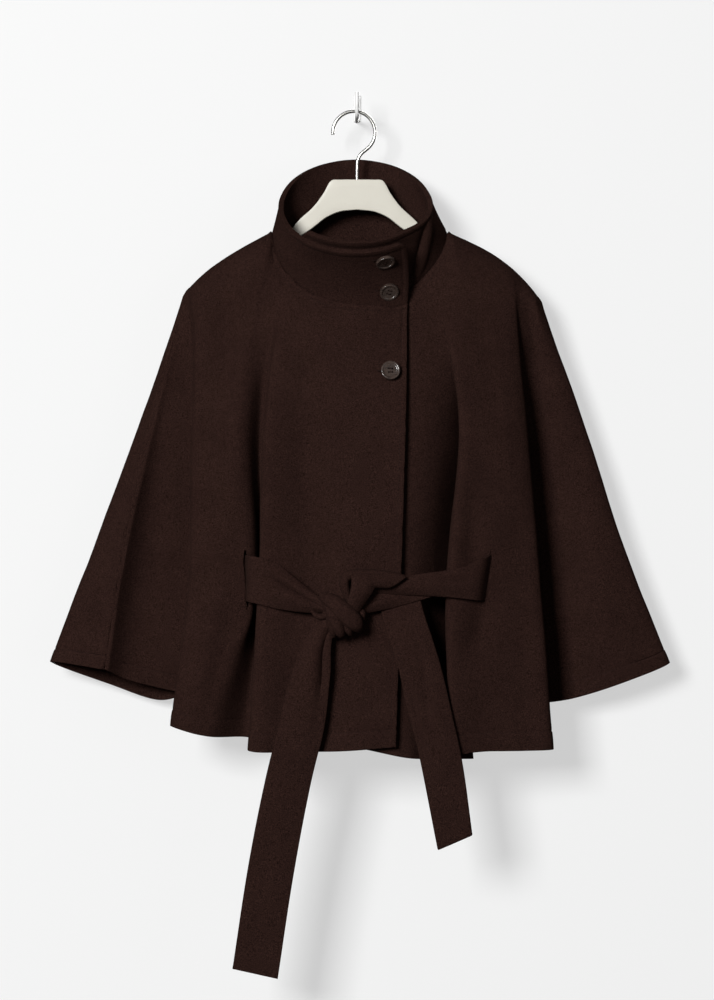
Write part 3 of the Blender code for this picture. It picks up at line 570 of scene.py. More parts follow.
def top_point(neck, shoulder):
    """A point of a panel's upper edge: on the neck seam, or on the shoulder seam outside it."""
    start = neck_point(neck)
    if shoulder <= 0:
        return start
    side = 90 if neck < 180 else 270
    tip = np.array(SHOULDER_TIP[side])
    bow = np.array([0.0, 0.0, SHOULDER_BOW[side] * 4 * shoulder * (1 - shoulder) * (0.5 + shoulder)])
    return start + (tip - start) * shoulder + bow


def fold_line(fold, belt_z, shares):
    stations = [
        top_point(fold.neck, fold.shoulder),
        (fold.x_chest, fold.d_chest, CHEST_Z),
        (fold.x_belt, fold.d_belt, belt_z),
        (fold.x_hem, fold.d_hem, fold.z_hem),
    ]
    if fold.name not in SEAM_FOLDS:
        return through(stations, STATION_SHARES, shares)
    pit = UNDERARM[90 if fold.neck < 180 else 270]
    above = through(stations[:2] + [pit], (*STATION_SHARES[:2], UNDERARM_SHARE), shares)
    below = through([pit] + stations[2:], (UNDERARM_SHARE, *STATION_SHARES[2:]), shares)
    return np.where((shares <= UNDERARM_SHARE)[:, None], above, below)


def opened_late(lines, folds, shares):
    """The fold lines with the late ones kept flat between their neighbours down to where they open."""
    names = [fold.name for fold in folds]
    for late in LATE_FOLDS:
        if late.before not in names or late.after not in names:
            continue
        first, last = names.index(late.before), names.index(late.after)
        opened = eased((shares - late.opens) / (late.full - late.opens))
        for place in range(first + 1, last):
            across = (place - first) / (last - first)
            flat = lines[first][:, 1] * (1 - across) + lines[last][:, 1] * across
            lines[place][:, 1] = flat + (lines[place][:, 1] - flat) * opened
    return lines


def column_places(folds, start_columns, stop_columns):
    """The grid columns of a fold group: each is a fold's number and a share of the way to the next."""
    places = [(0, 0.0)]
    for span, (here, there) in enumerate(zip(folds, folds[1:])):
        count = here.steps * FINER
        length = math.hypot(there.x_belt - here.x_belt, there.d_belt - here.d_belt)
        shares = {(step + 1) / count for step in range(count)}
        if span == 0:
            shares |= {distance / length for distance in start_columns}
        if span == len(folds) - 2:
            shares |= {1 - distance / length for distance in stop_columns}
        places += [(span, share) for share in sorted(shares)]
    return places


def grid_row(points, places):
    """One grid row: a smooth curve through the fold lines' points, read at the columns' places."""
    knots = even_knots(points)
    at = [knots[span] + (knots[span + 1] - knots[span]) * t for span, t in places]
    return through(points, knots, at)


def row_shares():
    upper = np.linspace(0, UNDERARM_SHARE, ROWS_TO_UNDERARM + 1)
    lower = np.linspace(UNDERARM_SHARE, 1, ROWS_TO_HEM + 1)
    shares = np.array(sorted({round(float(s), 5) for s in (*upper, *lower, *YOKE_SHARES, *HEM_SHARES)}))
    return shares, int(np.searchsorted(shares, UNDERARM_SHARE - 1e-6))


def yoke_weights(top, shoulders, outward):
    """1 where a panel starts near the hanger's plane, 0 at the overarm and where the neck is clear."""
    ends = np.clip((1 - shoulders) / YOKE_END_SHARE, 0, 1)
    if outward > 0:
        return ends * np.clip((YOKE_FRONT_CLEAR - top[:, 1]) / YOKE_FADE, 0, 1)
    return ends * np.clip((top[:, 1] - YOKE_BACK_CLEAR) / YOKE_FADE, 0, 1)


def spread_out(values, times=30):
    """The values of a row, each evened with its neighbours."""
    for _ in range(times):
        padded = np.concatenate([values[:1], values, values[-1:]])
        values = padded[:-2] / 4 + padded[1:-1] / 2 + padded[2:] / 4
    return values


def side_by_side(groups, places):
    """The columns of fold groups as one run, and where each starts: neck angle and shoulder share."""
    folds = list(groups[0])
    columns = list(places[0])
    for group, own in zip(groups[1:], places[1:]):
        columns += [(span + len(folds) - 1, t) for span, t in own[1:]]
        folds = folds[:-1] + list(group)
    starts = np.array([
        (here.neck + (there.neck - here.neck) * t, here.shoulder + (there.shoulder - here.shoulder) * t)
        for here, there, t in ((folds[span], folds[span + 1], t) for span, t in columns)
    ])
    return columns, starts


def panel_grids(groups, belt_heights, edges, outward):
    """Grids of one cloth piece: fold groups side by side, one sheet down to the underarm, apart below.
    The second list says how far each column's top lies out along the shoulder seam."""
    shares, underarm_row = row_shares()
    lines = [
        opened_late(np.array([fold_line(fold, belt_z, shares) for fold in group]), group, shares)
        for group, belt_z in zip(groups, belt_heights)
    ]
    places = [column_places(group, *edge) for group, edge in zip(groups, edges)]
    joined, starts = side_by_side(groups, places)
    top = np.array([top_point(*start) for start in starts])
    yoke = outward * YOKE_ROUND * yoke_weights(top, starts[:, 1], outward)
    widths = [len(own) - 1 for own in places]
    firsts = [sum(widths[:number]) for number in range(len(widths))]
    grids = [np.zeros((len(shares), width + 1, 3)) for width in widths]
    shoulders = [starts[first:first + width + 1, 1] for first, width in zip(firsts, widths)]
    for row, share in enumerate(shares):
        if row > underarm_row:
            for grid, part, own in zip(grids, lines, places):
                grid[row] = grid_row(part[:, row], own)
            continue
        points = np.concatenate([lines[0][:, row]] + [part[1:, row] for part in lines[1:]])
        whole = grid_row(points, joined)
        if row == 0:
            lift = top - whole
        above_chest = max(0.0, 1 - share / STATION_SHARES[1])
        whole = whole + lift * above_chest**2
        whole[:, 1] += yoke * share / YOKE_SHARE * math.exp(1 - share / YOKE_SHARE)
        evened = min(share / YOKE_SHARE, 1.0) * above_chest
        whole[:, 1] += (spread_out(whole[:, 1]) - whole[:, 1]) * evened
        for grid, first, width in zip(grids, firsts, widths):
            grid[row] = whole[first:first + width + 1]
    return grids, shoulders


def panel_wall(grid, shoulders, wall, start_puff, stop_puff):
    """The cloth's thickness over a grid: fuller at the hem, and as stated beside seams and edges."""
    shares = row_shares()[0]
    full = np.full(grid.shape[:2], wall)
    full += np.interp(shares, *zip(*HEM_PUFF))[:, None]
    full += np.interp(shares, *zip(*NECK_PUFF))[:, None] * (shoulders <= 0)[None, :]
    full += np.interp(shares, *zip(*SHOULDER_PUFF))[:, None] * (shoulders > 0)[None, :]
    steps = np.linalg.norm(np.diff(grid, axis=1), axis=2)
    away = np.concatenate([np.zeros((len(grid), 1)), np.cumsum(steps, axis=1)], axis=1)
    if start_puff:
        full += np.interp(away, *zip(*start_puff))
    if stop_puff:
        full += np.interp(away[:, -1:] - away, *zip(*stop_puff))
    return full


def open_slit(grid, slit):
    """Draws a grid column onto the slit's line; gives that column and the rows that the slit opens."""
    middle = (slit.z_up + slit.z_low) / 2
    row = np.argmin(np.abs(grid[:, 0, 2] - middle))
    column = int(np.argmin(np.abs(grid[row, :, 0] - (slit.x_up + slit.x_low) / 2)))
    heights = grid[:, column, 2]
    line = slit.x_low + (slit.x_up - slit.x_low) * (heights - slit.z_low) / (slit.z_up - slit.z_low)
    beyond = np.maximum(np.abs(heights - middle) - (slit.z_up - slit.z_low) / 2, 0)
    drawn = (line - grid[:, column, 0]) * eased(1 - beyond / SLIT_REACH)
    across = np.exp(-(((np.arange(grid.shape[1]) - column) / SLIT_COLUMNS) ** 2))
    grid[:, :, 0] += drawn[:, None] * across[None, :]
    return column, np.where((heights < slit.z_up) & (heights > slit.z_low))[0]


class Sheet:
    """One cloth piece: points, wall thickness, quads, and the numbers of its grids' points."""

    def __init__(self):
        self.points = []
        self.walls = []
        self.quads = []
        self.numbers = []
        self.shoulders = []
        self.normals = None

    def add_grid(self, grid, wall, shared_rows=0, slit=None):
        """Adds a grid; its first column is the last one's last column down to shared_rows."""
        rows, columns = grid.shape[:2]
        cut, opened = open_slit(grid, slit) if slit else (-1, ())
        number = np.zeros((rows, columns), int)
        for row in range(rows):
            for column in range(columns):
                if column == 0 and row < shared_rows:
                    number[row, 0] = self.numbers[-1][row, -1]
                    continue
                number[row, column] = self.add_point(grid[row, column], wall[row, column])
        beyond_cut = number.copy()
        for row in opened:
            point = grid[row, cut]
            self.points[number[row, cut]] = point + (slit.front_lip, 0.0, 0.0)
            beyond_cut[row, cut] = self.add_point(point + (slit.side_lip, 0.0, 0.0), wall[row, cut])
        for row in range(rows - 1):
            for column in range(columns - 1):
                near = beyond_cut if column == cut else number
                self.quads.append([
                    near[row, column], number[row, column + 1],
                    number[row + 1, column + 1], near[row + 1, column],
                ])
        self.numbers.append(number)

    def add_point(self, point, wall):
        self.points.append(np.asarray(point, float))
        self.walls.append(wall)
        return len(self.points) - 1

    def settle(self, outward):
        """Turns the lists into arrays, with the quads facing out of the garment."""
        self.points = np.array(self.points)
        self.walls = np.array(self.walls)
        self.quads = np.array(self.quads)
        self.normals = vertex_normals(self.points, self.quads)
        if self.normals[:, 1].mean() * outward < 0:
            self.turn_over()

    def turn_over(self):
        """Makes the sheet's other face its outer one."""
        self.quads = self.quads[:, ::-1]
        self.normals = -self.normals


def vertex_normals(points, quads):
    face = np.cross(points[quads[:, 2]] - points[quads[:, 0]], points[quads[:, 3]] - points[quads[:, 1]])
    total = np.zeros_like(points)
    for corner in range(4):
        np.add.at(total, quads[:, corner], face)
    return total / np.maximum(np.linalg.norm(total, axis=1, keepdims=True), 1e-9)


def crease_rise(points, cloth):
    """How far the listed creases lift or sink each point of a panel."""
    rise = np.zeros(len(points))
    flat = points[:, [0, 2]]
    for crease in (each for each in CREASES if each.cloth == cloth):
        start = np.array([crease.x_from, crease.z_from], float)
        run = np.array([crease.x_to, crease.z_to]) - start
        length = np.linalg.norm(run)
        along = (flat - start) @ run / length**2
        away = (flat - start) @ np.array([-run[1], run[0]]) / length
        away -= crease.bow * 4 * along * (1 - along)
        start_fade = eased((along + CREASE_RUN_OUT) / CREASE_FADE)
        stop_fade = eased((1 + CREASE_RUN_OUT - along) / CREASE_FADE)
        rise += crease.rise * np.exp(-((away / crease.width) ** 2)) * (start_fade * stop_fade)
    return rise


def drape_rise(points):
    """Small soft unevenness of cloth that hangs."""
    slow = np.array([noise.noise(Vector(point)) for point in points / DRAPE_WAVE])
    quick = np.array([noise.noise(Vector(point)) for point in points / RIPPLE_WAVE])
    return DRAPE_RISE * slow + RIPPLE_RISE * quick


@functools.lru_cache(maxsize=None)
def garment(wall):
    """The three panels as sheets that share their points and normals along the seams."""
    underarm = row_shares()[1] + 1
    seams = (SEAM_COLUMNS, SEAM_COLUMNS)
    front = ((EDGE_COLUMNS, SEAM_COLUMNS), seams)
    plans = (
        ("front_right", (RIGHT_FRONT, RIGHT_SLEEVE_FRONT), front, 1),
        ("front_left", (LEFT_FRONT, LEFT_SLEEVE_FRONT), front, 1),
        ("back", (RIGHT_SLEEVE_BACK, BACK, LEFT_SLEEVE_BACK), (seams, seams, seams), -1),
    )
    sheets = {}
    for name, groups, edges, outward in plans:
        heights = (BELT_Z, SLEEVE_Z) if outward > 0 else (SLEEVE_Z, BELT_Z, SLEEVE_Z)
        grids, shoulders = panel_grids(groups, heights, edges, outward)
        slit = next((each for each in SLITS if each.cloth == name), None)
        sheet = Sheet()
        sheet.shoulders = shoulders
        first_puff = EDGE_PUFF if outward > 0 else SEAM_PUFF
        for number, (grid, out) in enumerate(zip(grids, shoulders)):
            last_puff = SEAM_PUFF if number == len(grids) - 1 else None
            full = panel_wall(grid, out, wall, None if number else first_puff, last_puff)
            sheet.add_grid(grid, full, underarm if number else 0, None if number else slit)
        sheet.settle(outward)
        sheets[name] = (sheet, outward)
    meetings = {}
    for name, (sheet, outward) in sheets.items():
        for index, point in enumerate(sheet.points):
            meetings.setdefault(tuple(np.round(point, 1)), []).append((sheet, index))
        facing = np.clip(sheet.normals[:, 1] * outward * CREASE_FACING, 0, 1)
        rise = crease_rise(sheet.points, name) * facing + drape_rise(sheet.points)
        sheet.points = sheet.points + sheet.normals * rise[:, None]
        sheet.normals = vertex_normals(sheet.points, sheet.quads)
    for members in meetings.values():
        if len({id(sheet) for sheet, _ in members}) > 1:
            point = np.mean([sheet.points[index] for sheet, index in members], axis=0)
            normal = np.sum([sheet.normals[index] for sheet, index in members], axis=0)
            for sheet, index in members:
                sheet.points[index] = point
                sheet.normals[index] = normal / max(np.linalg.norm(normal), 1e-6)
    return {name: sheet for name, (sheet, _) in sheets.items()}


def closed_wall(points, quads, normals, walls):
    """Points and faces of a closed wall over a sheet: its inner face, its outer face and the rims."""
    count = len(points)
    outer = points + normals * np.asarray(walls)[:, None]
    forward = np.concatenate([quads[:, [corner, (corner + 1) % 4]] for corner in range(4)])
    known = {(int(a), int(b)) for a, b in forward}
    rims = [(b + count, a + count, a, b) for a, b in known if (b, a) not in known]
    faces = np.concatenate([quads[:, ::-1], quads + count, np.array(sorted(rims))])
    return np.concatenate([points, outer]), faces


def mesh_object(name, points, faces, finish):
    """A new smooth object at the origin from points in millimetres, with its faces pointing out."""
    mesh = bpy.data.meshes.new(name)
    mesh.from_pydata(metres(points).tolist(), [], [[int(corner) for corner in face] for face in faces])
    edit = bmesh.new()
    edit.from_mesh(mesh)
    bmesh.ops.recalc_face_normals(edit, faces=edit.faces)
    edit.to_mesh(mesh)
    edit.free()
    mesh.materials.append(finish)
    mesh.shade_smooth()
    made = bpy.data.objects.new(name, mesh)
    bpy.context.scene.collection.objects.link(made)
    return made


def only(made):
    """Makes one object the selected and active one."""
    bpy.ops.object.select_all(action="DESELECT")
    made.select_set(True)
    bpy.context.view_layer.objects.active = made
    return made


def apply_all(made):
    only(made)
    for modifier in [each.name for each in made.modifiers]:
        bpy.ops.object.modifier_apply(modifier=modifier)
    return made


def round_edges(made, width, angle, segments):
    """Rounds the edges where faces meet at more than the angle, by a width in metres."""
    bevel = made.modifiers.new("Rounded edges", "BEVEL")
    bevel.limit_method = "ANGLE"
    bevel.angle_limit = math.radians(angle)
    bevel.width = width
    bevel.segments = segments
    return apply_all(made)


def takes_part(made, slot, *nodes):
    """The piece rides on the jacket's body and stands for its CAD nodes, which are hidden; slot is not
    used.
    """
    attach(made, BODY)
    if nodes:
        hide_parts(*nodes)
    return made


def new_material(name, colour, roughness, metallic=0.0):
    """A material with object coordinates ready for its textures."""
    made = bpy.data.materials.new(name)
    made.use_nodes = True
    nodes = made.node_tree.nodes
    shader = nodes["Principled BSDF"]
    shader.inputs["Base Color"].default_value = (*colour, 1.0)
    shader.inputs["Roughness"].default_value = roughness
    shader.inputs["Metallic"].default_value = metallic
    return made, shader, nodes.new("ShaderNodeTexCoord").outputs["Object"]


def add_noise(made, where, scale, detail, stretch=(1.0, 1.0, 1.0)):
    nodes, links = made.node_tree.nodes, made.node_tree.links
    mapping = nodes.new("ShaderNodeMapping")
    mapping.inputs["Scale"].default_value = stretch
    links.new(where, mapping.inputs["Vector"])
    texture = nodes.new("ShaderNodeTexNoise")
    texture.inputs["Scale"].default_value = scale
    texture.inputs["Detail"].default_value = detail
    links.new(mapping.outputs["Vector"], texture.inputs["Vector"])
    return texture.outputs["Fac"]


def add_ramp(made, factor, low, high, low_at=0.3, high_at=0.7):
    """Colours or grey levels blended by a texture."""
    ramp = made.node_tree.nodes.new("ShaderNodeValToRGB")
    for element, place, value in zip(ramp.color_ramp.elements, (low_at, high_at), (low, high)):
        element.position = place
        element.color = (*value, 1.0) if len(value) == 3 else value
    made.node_tree.links.new(factor, ramp.inputs["Fac"])
    return ramp.outputs["Color"]


def add_math(made, operation, one, other):
    node = made.node_tree.nodes.new("ShaderNodeMath")
    node.operation = operation
    for socket, value in zip(node.inputs, (one, other)):
        if isinstance(value, float):
            socket.default_value = value
        else:
            made.node_tree.links.new(value, socket)
    return node.outputs["Value"]


def add_bump(made, shader, height, strength, distance):
    bump = made.node_tree.nodes.new("ShaderNodeBump")
    bump.inputs["Strength"].default_value = strength
    bump.inputs["Distance"].default_value = distance
    made.node_tree.links.new(height, bump.inputs["Height"])
    made.node_tree.links.new(bump.outputs["Normal"], shader.inputs["Normal"])


def lighter(colour, share):
    return tuple(min(channel * share, 1.0) for channel in colour)


def vary_colour(made, shader, texture, colour, dark, light):
    """The base colour goes from a darker to a lighter share of itself with the texture."""
    blend = add_ramp(made, texture, lighter(colour, dark), lighter(colour, light))
    made.node_tree.links.new(blend, shader.inputs["Base Color"])


def vary_roughness(made, shader, texture, low, high):
    """The roughness goes from low to high with the texture."""
    blend = add_ramp(made, texture, (low,) * 3, (high,) * 3)
    made.node_tree.links.new(blend, shader.inputs["Roughness"])


@functools.lru_cache(maxsize=None)
def wool_material(colour):
    """Fulled coat wool: a dense nap of short fibres, flecked, with faint clouds in its dye."""
    made, shader, where = new_material("coat wool", colour, 0.95)
    links = made.node_tree.links
    nap = add_noise(made, where, scale=1450.0, detail=2.0, stretch=(1.0, 1.0, 0.8))
    fleck = add_noise(made, where, scale=900.0, detail=3.0)
    cloud = add_noise(made, where, scale=26.0, detail=3.0)
    mix = made.node_tree.nodes.new("ShaderNodeMix")
    mix.data_type = "RGBA"
    mix.blend_type = "MULTIPLY"
    mix.inputs["Factor"].default_value = 1.0
    dark, light = lighter(colour, NAP_DARK), lighter(colour, NAP_LIGHT)
    links.new(add_ramp(made, nap, dark, light, low_at=0.33, high_at=0.67), mix.inputs["A"])
    links.new(add_ramp(made, cloud, low=(0.86, 0.86, 0.87), high=(1.0, 1.0, 1.0)), mix.inputs["B"])
    links.new(mix.outputs["Result"], shader.inputs["Base Color"])
    vary_roughness(made, shader, fleck, low=0.86, high=1.0)
    shader.inputs["Sheen Weight"].default_value = 0.012
    shader.inputs["Sheen Roughness"].default_value = 0.5
    shader.inputs["Sheen Tint"].default_value = (0.55, 0.38, 0.32, 1.0)
    shader.inputs["Specular IOR Level"].default_value = 0.0
    height = add_math(made, "ADD", nap, add_math(made, "MULTIPLY", fleck, 0.8))
    add_bump(made, shader, height, strength=0.55, distance=0.0007)
    return made


@functools.lru_cache(maxsize=None)
def thread_material(colour):
    """Twisted sewing thread in the wool's colour, darkened by painted shade of its stitch holes."""
    made, shader, where = new_material("sewing thread", colour, 0.7)
    shader.inputs["Specular IOR Level"].default_value = 0.05
    twist = add_noise(made, where, scale=2400.0, detail=2.0)
    vary_colour(made, shader, twist, colour, dark=0.7, light=1.2)
    add_bump(made, shader, twist, strength=0.4, distance=0.0002)
    return made


def horn_material(colour):
    """Polished dark horn with faint streaks and fine scratches."""
    made, shader, where = new_material("dark horn", colour, 0.2)
    streak = add_noise(made, where, scale=160.0, detail=4.0, stretch=(1.0, 1.0, 3.5))
    vary_colour(made, shader, streak, colour, dark=0.6, light=2.1)
    scratch = add_noise(made, where, scale=900.0, detail=4.0)
    vary_roughness(made, shader, scratch, low=0.16, high=0.34)
    shader.inputs["Coat Weight"].default_value = 0.35
    shader.inputs["Coat Roughness"].default_value = 0.12
    return made


def lacquer_material(colour):
    """Satin cream lacquer over wood, with the faint orange-peel of a sprayed coat."""
    made, shader, where = new_material("cream lacquer", colour, 0.42)
    cloud = add_noise(made, where, scale=22.0, detail=3.0)
    vary_colour(made, shader, cloud, colour, dark=0.96, light=1.02)
    peel = add_noise(made, where, scale=700.0, detail=2.0)
    vary_roughness(made, shader, peel, low=0.36, high=0.48)
    add_bump(made, shader, peel, strength=0.08, distance=0.0003)
    return made


def metal_material(name, colour, rough_low, rough_high, metallic):
    """Plated or enamelled metal with fine draw marks."""
    made, shader, where = new_material(name, colour, rough_high, metallic)
    mark = add_noise(made, where, scale=420.0, detail=4.0, stretch=(1.0, 1.0, 4.0))
    vary_colour(made, shader, mark, colour, dark=0.93, light=1.03)
    vary_roughness(made, shader, mark, rough_low, rough_high)
    add_bump(made, shader, mark, strength=0.05, distance=0.0002)
    return made


def wall_paint(colour):
    """Matt white paint, seen from the front only."""
    made, shader, where = new_material("matt paint", colour, 0.9)
    nodes, links = made.node_tree.nodes, made.node_tree.links
    shader.inputs["Emission Color"].default_value = (1.0, 1.0, 1.0, 1.0)
    shader.inputs["Emission Strength"].default_value = WALL_GLOW
    roller = add_noise(made, where, scale=260.0, detail=3.0)
    add_bump(made, shader, roller, strength=0.03, distance=0.0004)
    behind = nodes.new("ShaderNodeNewGeometry").outputs["Backfacing"]
    clear = nodes.new("ShaderNodeBsdfTransparent")
    mix = nodes.new("ShaderNodeMixShader")
    links.new(behind, mix.inputs["Fac"])
    links.new(shader.outputs["BSDF"], mix.inputs[1])
    links.new(clear.outputs["BSDF"], mix.inputs[2])
    links.new(mix.outputs["Shader"], nodes["Material Output"].inputs["Surface"])
    return made


def collar_point(angle, share):
    """A point of the collar's outer face: it rises from the neck seam, then leans out to the rim."""
    base = neck_point(angle)
    rim = rim_point(angle)
    lean = 0.5 - KNEE_UPRIGHT * max(math.cos(math.radians(angle)), 0.0)
    knee = base + (rim - base) * np.array([lean, lean, 0.5])
    return (1 - share) ** 2 * base + 2 * share * (1 - share) * knee + share**2 * rim


def collar_sheet(wall):
    """The collar as one sheet, rolled round the neck with its end over the underlap."""
    turn = 1 / COLLAR_MM_PER_DEGREE
    close = [distance * turn for distance in EDGE_COLUMNS]
    angles = np.array(sorted({
        *np.linspace(COLLAR_START, COLLAR_END, COLLAR_COLUMNS + 1),
        *(COLLAR_START + step for step in close), *(COLLAR_END - step for step in close),
    }))
    shares = np.array(sorted({
        *np.linspace(0, 1, COLLAR_ROWS + 1),
        *(1 - distance / COLLAR_HEIGHT for distance in EDGE_COLUMNS),
    }))[::-1]
    grid = np.zeros((len(shares), len(angles), 3))
    full = np.full(grid.shape[:2], wall)
    for column, angle in enumerate(angles):
        from_end = min(angle - COLLAR_START, COLLAR_END - angle) * COLLAR_MM_PER_DEGREE
        short = max(COLLAR_CORNER - from_end, 0.0)
        drop = COLLAR_CORNER - math.sqrt(max(COLLAR_CORNER**2 - short**2, 0.0))
        lean = COLLAR_START_LEAN * max(1 - (angle - COLLAR_START) / COLLAR_LEAN_OVER, 0.0)
        for row, share in enumerate(shares):
            grid[row, column] = collar_point(angle - lean * share, share * (1 - drop / COLLAR_HEIGHT))
            from_rim = (1 - share) * COLLAR_HEIGHT
            full[row, column] += np.interp(min(from_rim, from_end), *zip(*EDGE_PUFF))
    sheet = Sheet()
    sheet.add_grid(grid, full)
    sheet.settle(1)
    middle = grid.reshape(-1, 3).mean(axis=0)
    if ((sheet.points - middle) * sheet.normals)[:, :2].sum() < 0:
        sheet.turn_over()
    turns = np.tile(angles, len(shares))
    heights = np.repeat(shares, len(angles))
    away = (turns - (RIDGE_AT_BASE + (RIDGE_AT_RIM - RIDGE_AT_BASE) * heights)) * COLLAR_MM_PER_DEGREE
    rise = RIDGE_RISE * np.exp(-((away / RIDGE_WIDTH) ** 2))
    rise += HOLLOW_RISE * np.exp(-(((away - HOLLOW_OFF) / HOLLOW_WIDTH) ** 2))
    rise = rise * eased(heights / RIDGE_FADE) * eased((1 - heights) / RIDGE_FADE)
    rise += drape_rise(sheet.points) * COLLAR_DRAPE
    sheet.points = sheet.points + sheet.normals * (rise - wall)[:, None]
    sheet.normals = vertex_normals(sheet.points, sheet.quads)
    return sheet


def ribbon_sheet(stations, wall, front_at, along=9, columns=18):
    """A belt stretch as a sheet; front_at is a place along it where its outer face looks forward."""
    rows = np.array(stations, float)
    knots = even_knots((rows[:, :3] + rows[:, 3:6]) / 2)
    places = np.linspace(knots[0], knots[-1], along * (len(rows) - 1) + 1)
    read = through(rows, knots, places)
    upper, lower = read[:, :3], read[:, 3:6]
    crown, dimple, dimple_at = read[:, 6:].T
    grid = np.zeros((len(places), columns + 1, 3))
    for index, share in enumerate(np.linspace(0, 1, columns + 1)):
        grid[:, index] = upper * (1 - share) + lower * share
        grid[:, index, 1] += crown * 4 * share * (1 - share)
        grid[:, index, 1] += dimple * np.exp(-(((share - dimple_at) / DIMPLE_WIDTH) ** 2))
    sheet = Sheet()
    sheet.add_grid(grid, np.full(grid.shape[:2], wall))
    sheet.settle(1)
    row = int(front_at * (len(places) - 1))
    if sheet.normals[sheet.numbers[0][row]][:, 1].mean() < 0:
        sheet.turn_over()
    sheet.points = sheet.points + sheet.normals * (BELT_DRAPE * drape_rise(sheet.points))[:, None]
    return sheet


def roll_rings(lumps, sides=36, along=9):
    """Rings of a soft roll of belt along its stations, flattened across its run."""
    rows = np.array(lumps, float)
    knots = even_knots(rows[:, :3])
    read = through(rows, knots, np.linspace(knots[0], knots[-1], along * (len(rows) - 1) + 1))
    run = np.gradient(read[:, :3], axis=0)
    across = unit(np.cross(run, (0.0, 1.0, 0.0)))
    out = unit(np.cross(across, run))
    turns = 2 * np.pi * np.arange(sides) / sides
    centre, half_width, half_depth = read[:, :3], read[:, 3:4], read[:, 4:5]
    wide = np.cos(turns)[None, :, None] * (across * half_width)[:, None, :]
    deep = np.sin(turns)[None, :, None] * (out * half_depth)[:, None, :]
    return centre[:, None, :] + wide + deep


def rings_faces(count, sides):
    """Quads round a stack of rings, closed at both ends by strips of quads."""
    faces = []
    for ring in range(count - 1):
        for side in range(sides):
            here = ring * sides + side
            there = ring * sides + (side + 1) % sides
            faces.append((here, here + sides, there + sides, there))
    for start in (0, (count - 1) * sides):
        stop = start + sides - 1
        faces += [(start + k, start + k + 1, stop - k - 1, stop - k) for k in range(sides // 2 - 1)]
    return faces


def unit(vectors):
    return vectors / np.maximum(np.linalg.norm(vectors, axis=1, keepdims=True), 1e-9)


def thread_bars(starts, stops, ups, width, lift):
    """Points and faces of one short length of thread from each start to its stop."""
    centre = (starts + stops) / 2
    half = (stops - starts) / 2
    side = unit(np.cross(half, ups))
    up = unit(np.cross(side, half))
    corners = []
    for place, wide in STITCH_RINGS:
        for number in range(STITCH_SIDES):
            turn = 2 * math.pi * number / STITCH_SIDES
            rise = lift + STITCH_FLAT * width * wide * math.sin(turn)
            aside = width / 2 * wide * math.cos(turn)
            corners.append(centre + half * place + up * rise + side * aside)
    template = rings_faces(len(STITCH_RINGS), STITCH_SIDES)
    faces = []
    for bar in range(len(centre)):
        faces += [[corner + len(corners) * bar for corner in face] for face in template]
    return np.stack(corners, axis=1).reshape(-1, 3), faces


def stitches(points, normals, size):
    """Points and faces of a row of stitches along a line on the cloth."""
    steps = np.linalg.norm(np.diff(points, axis=0), axis=1)
    run = np.concatenate([[0.0], np.cumsum(steps)])
    length = size.length / MM
    middles = np.arange(length, run[-1] - length, length + size.gap / MM)
    starts, stops, ups = (
        np.stack([np.interp(middles + shift, run, values[:, axis]) for axis in range(3)], axis=1)
        for shift, values in ((-length / 2, points), (length / 2, points), (0.0, normals))
    )
    return thread_bars(starts, stops, ups, size.width / MM, size.lift / MM)


def merged(parts):
    """Several lots of points and faces as one."""
    points, faces, count = [], [], 0
    for some, quads in parts:
        points.append(np.asarray(some).reshape(-1, 3))
        faces += [[int(corner) + count for corner in quad] for quad in quads]
        count += len(points[-1])
    return np.concatenate(points), faces


def outer_line(sheet, numbers):
    """A run of a sheet's points on its outer face, with the way out of the cloth."""
    normals = sheet.normals[numbers]
    return sheet.points[numbers] + normals * sheet.walls[numbers][..., None], normals


def line_beside_edge(sheet, distance):
    """The line on the outer face of a sheet's first grid that runs this far from its first column."""
    points, normals = outer_line(sheet, sheet.numbers[0])
    line = []
    for row, out in zip(points, normals):
        away = np.concatenate([[0.0], np.cumsum(np.linalg.norm(np.diff(row, axis=0), axis=1))])
        place = [np.interp(distance, away, values) for values in (*row.T, *out.T)]
        line.append(place)
    line = np.array(line)
    return line[:, :3], line[:, 3:]


def panel_stitch_lines(sheet, with_edge):
    """The stitch lines of a panel: its hems, its neck seam and, on a front, the front edge."""
    shares = row_shares()[0]
    hem = int(np.argmin(np.abs(shares - HEM_STITCH_SHARE)))
    neck = int(np.argmin(np.abs(shares - NECK_STITCH_SHARE)))
    lines = []
    for numbers, shoulders in zip(sheet.numbers, sheet.shoulders):
        lines.append(outer_line(sheet, numbers[hem][1:-1]))
        at_neck = numbers[neck][shoulders <= 0]
        if len(at_neck) > SHORTEST_SEAM:
            lines.append(outer_line(sheet, at_neck[1:-1]))
    if with_edge:
        points, normals = line_beside_edge(sheet, STITCH_FROM_EDGE)
        lines.append((points[neck:hem], normals[neck:hem]))
    return lines


def collar_stitch_lines(sheet):
    """The stitch lines of the collar: under its rim and beside its outer end."""
    numbers = sheet.numbers[0]
    points = sheet.points[numbers]
    depth = np.linalg.norm(points - points[:1], axis=2).mean(axis=1)
    row = int(np.argmin(np.abs(depth - STITCH_FROM_EDGE)))
    inset = np.linalg.norm(points - points[:, :1], axis=2).mean(axis=0)
    column = int(np.argmin(np.abs(inset - STITCH_FROM_EDGE)))
    last = numbers.shape[1] - 1 - column
    return [
        outer_line(sheet, numbers[row, column:last + 1]),
        outer_line(sheet, numbers[row:-1, column]),
    ]


def cloth_piece(name, sheet, rims, node):
    """A cloth wall from a sheet, with its cut edges rounded."""
    points, faces = closed_wall(sheet.points, sheet.quads, sheet.normals, sheet.walls)
    made = mesh_object(f"{name}_wool", points, faces, wool())
    round_edges(made, rims * MM, CLOTH_EDGE, segments=3)
    takes_part(made, "wool", node)


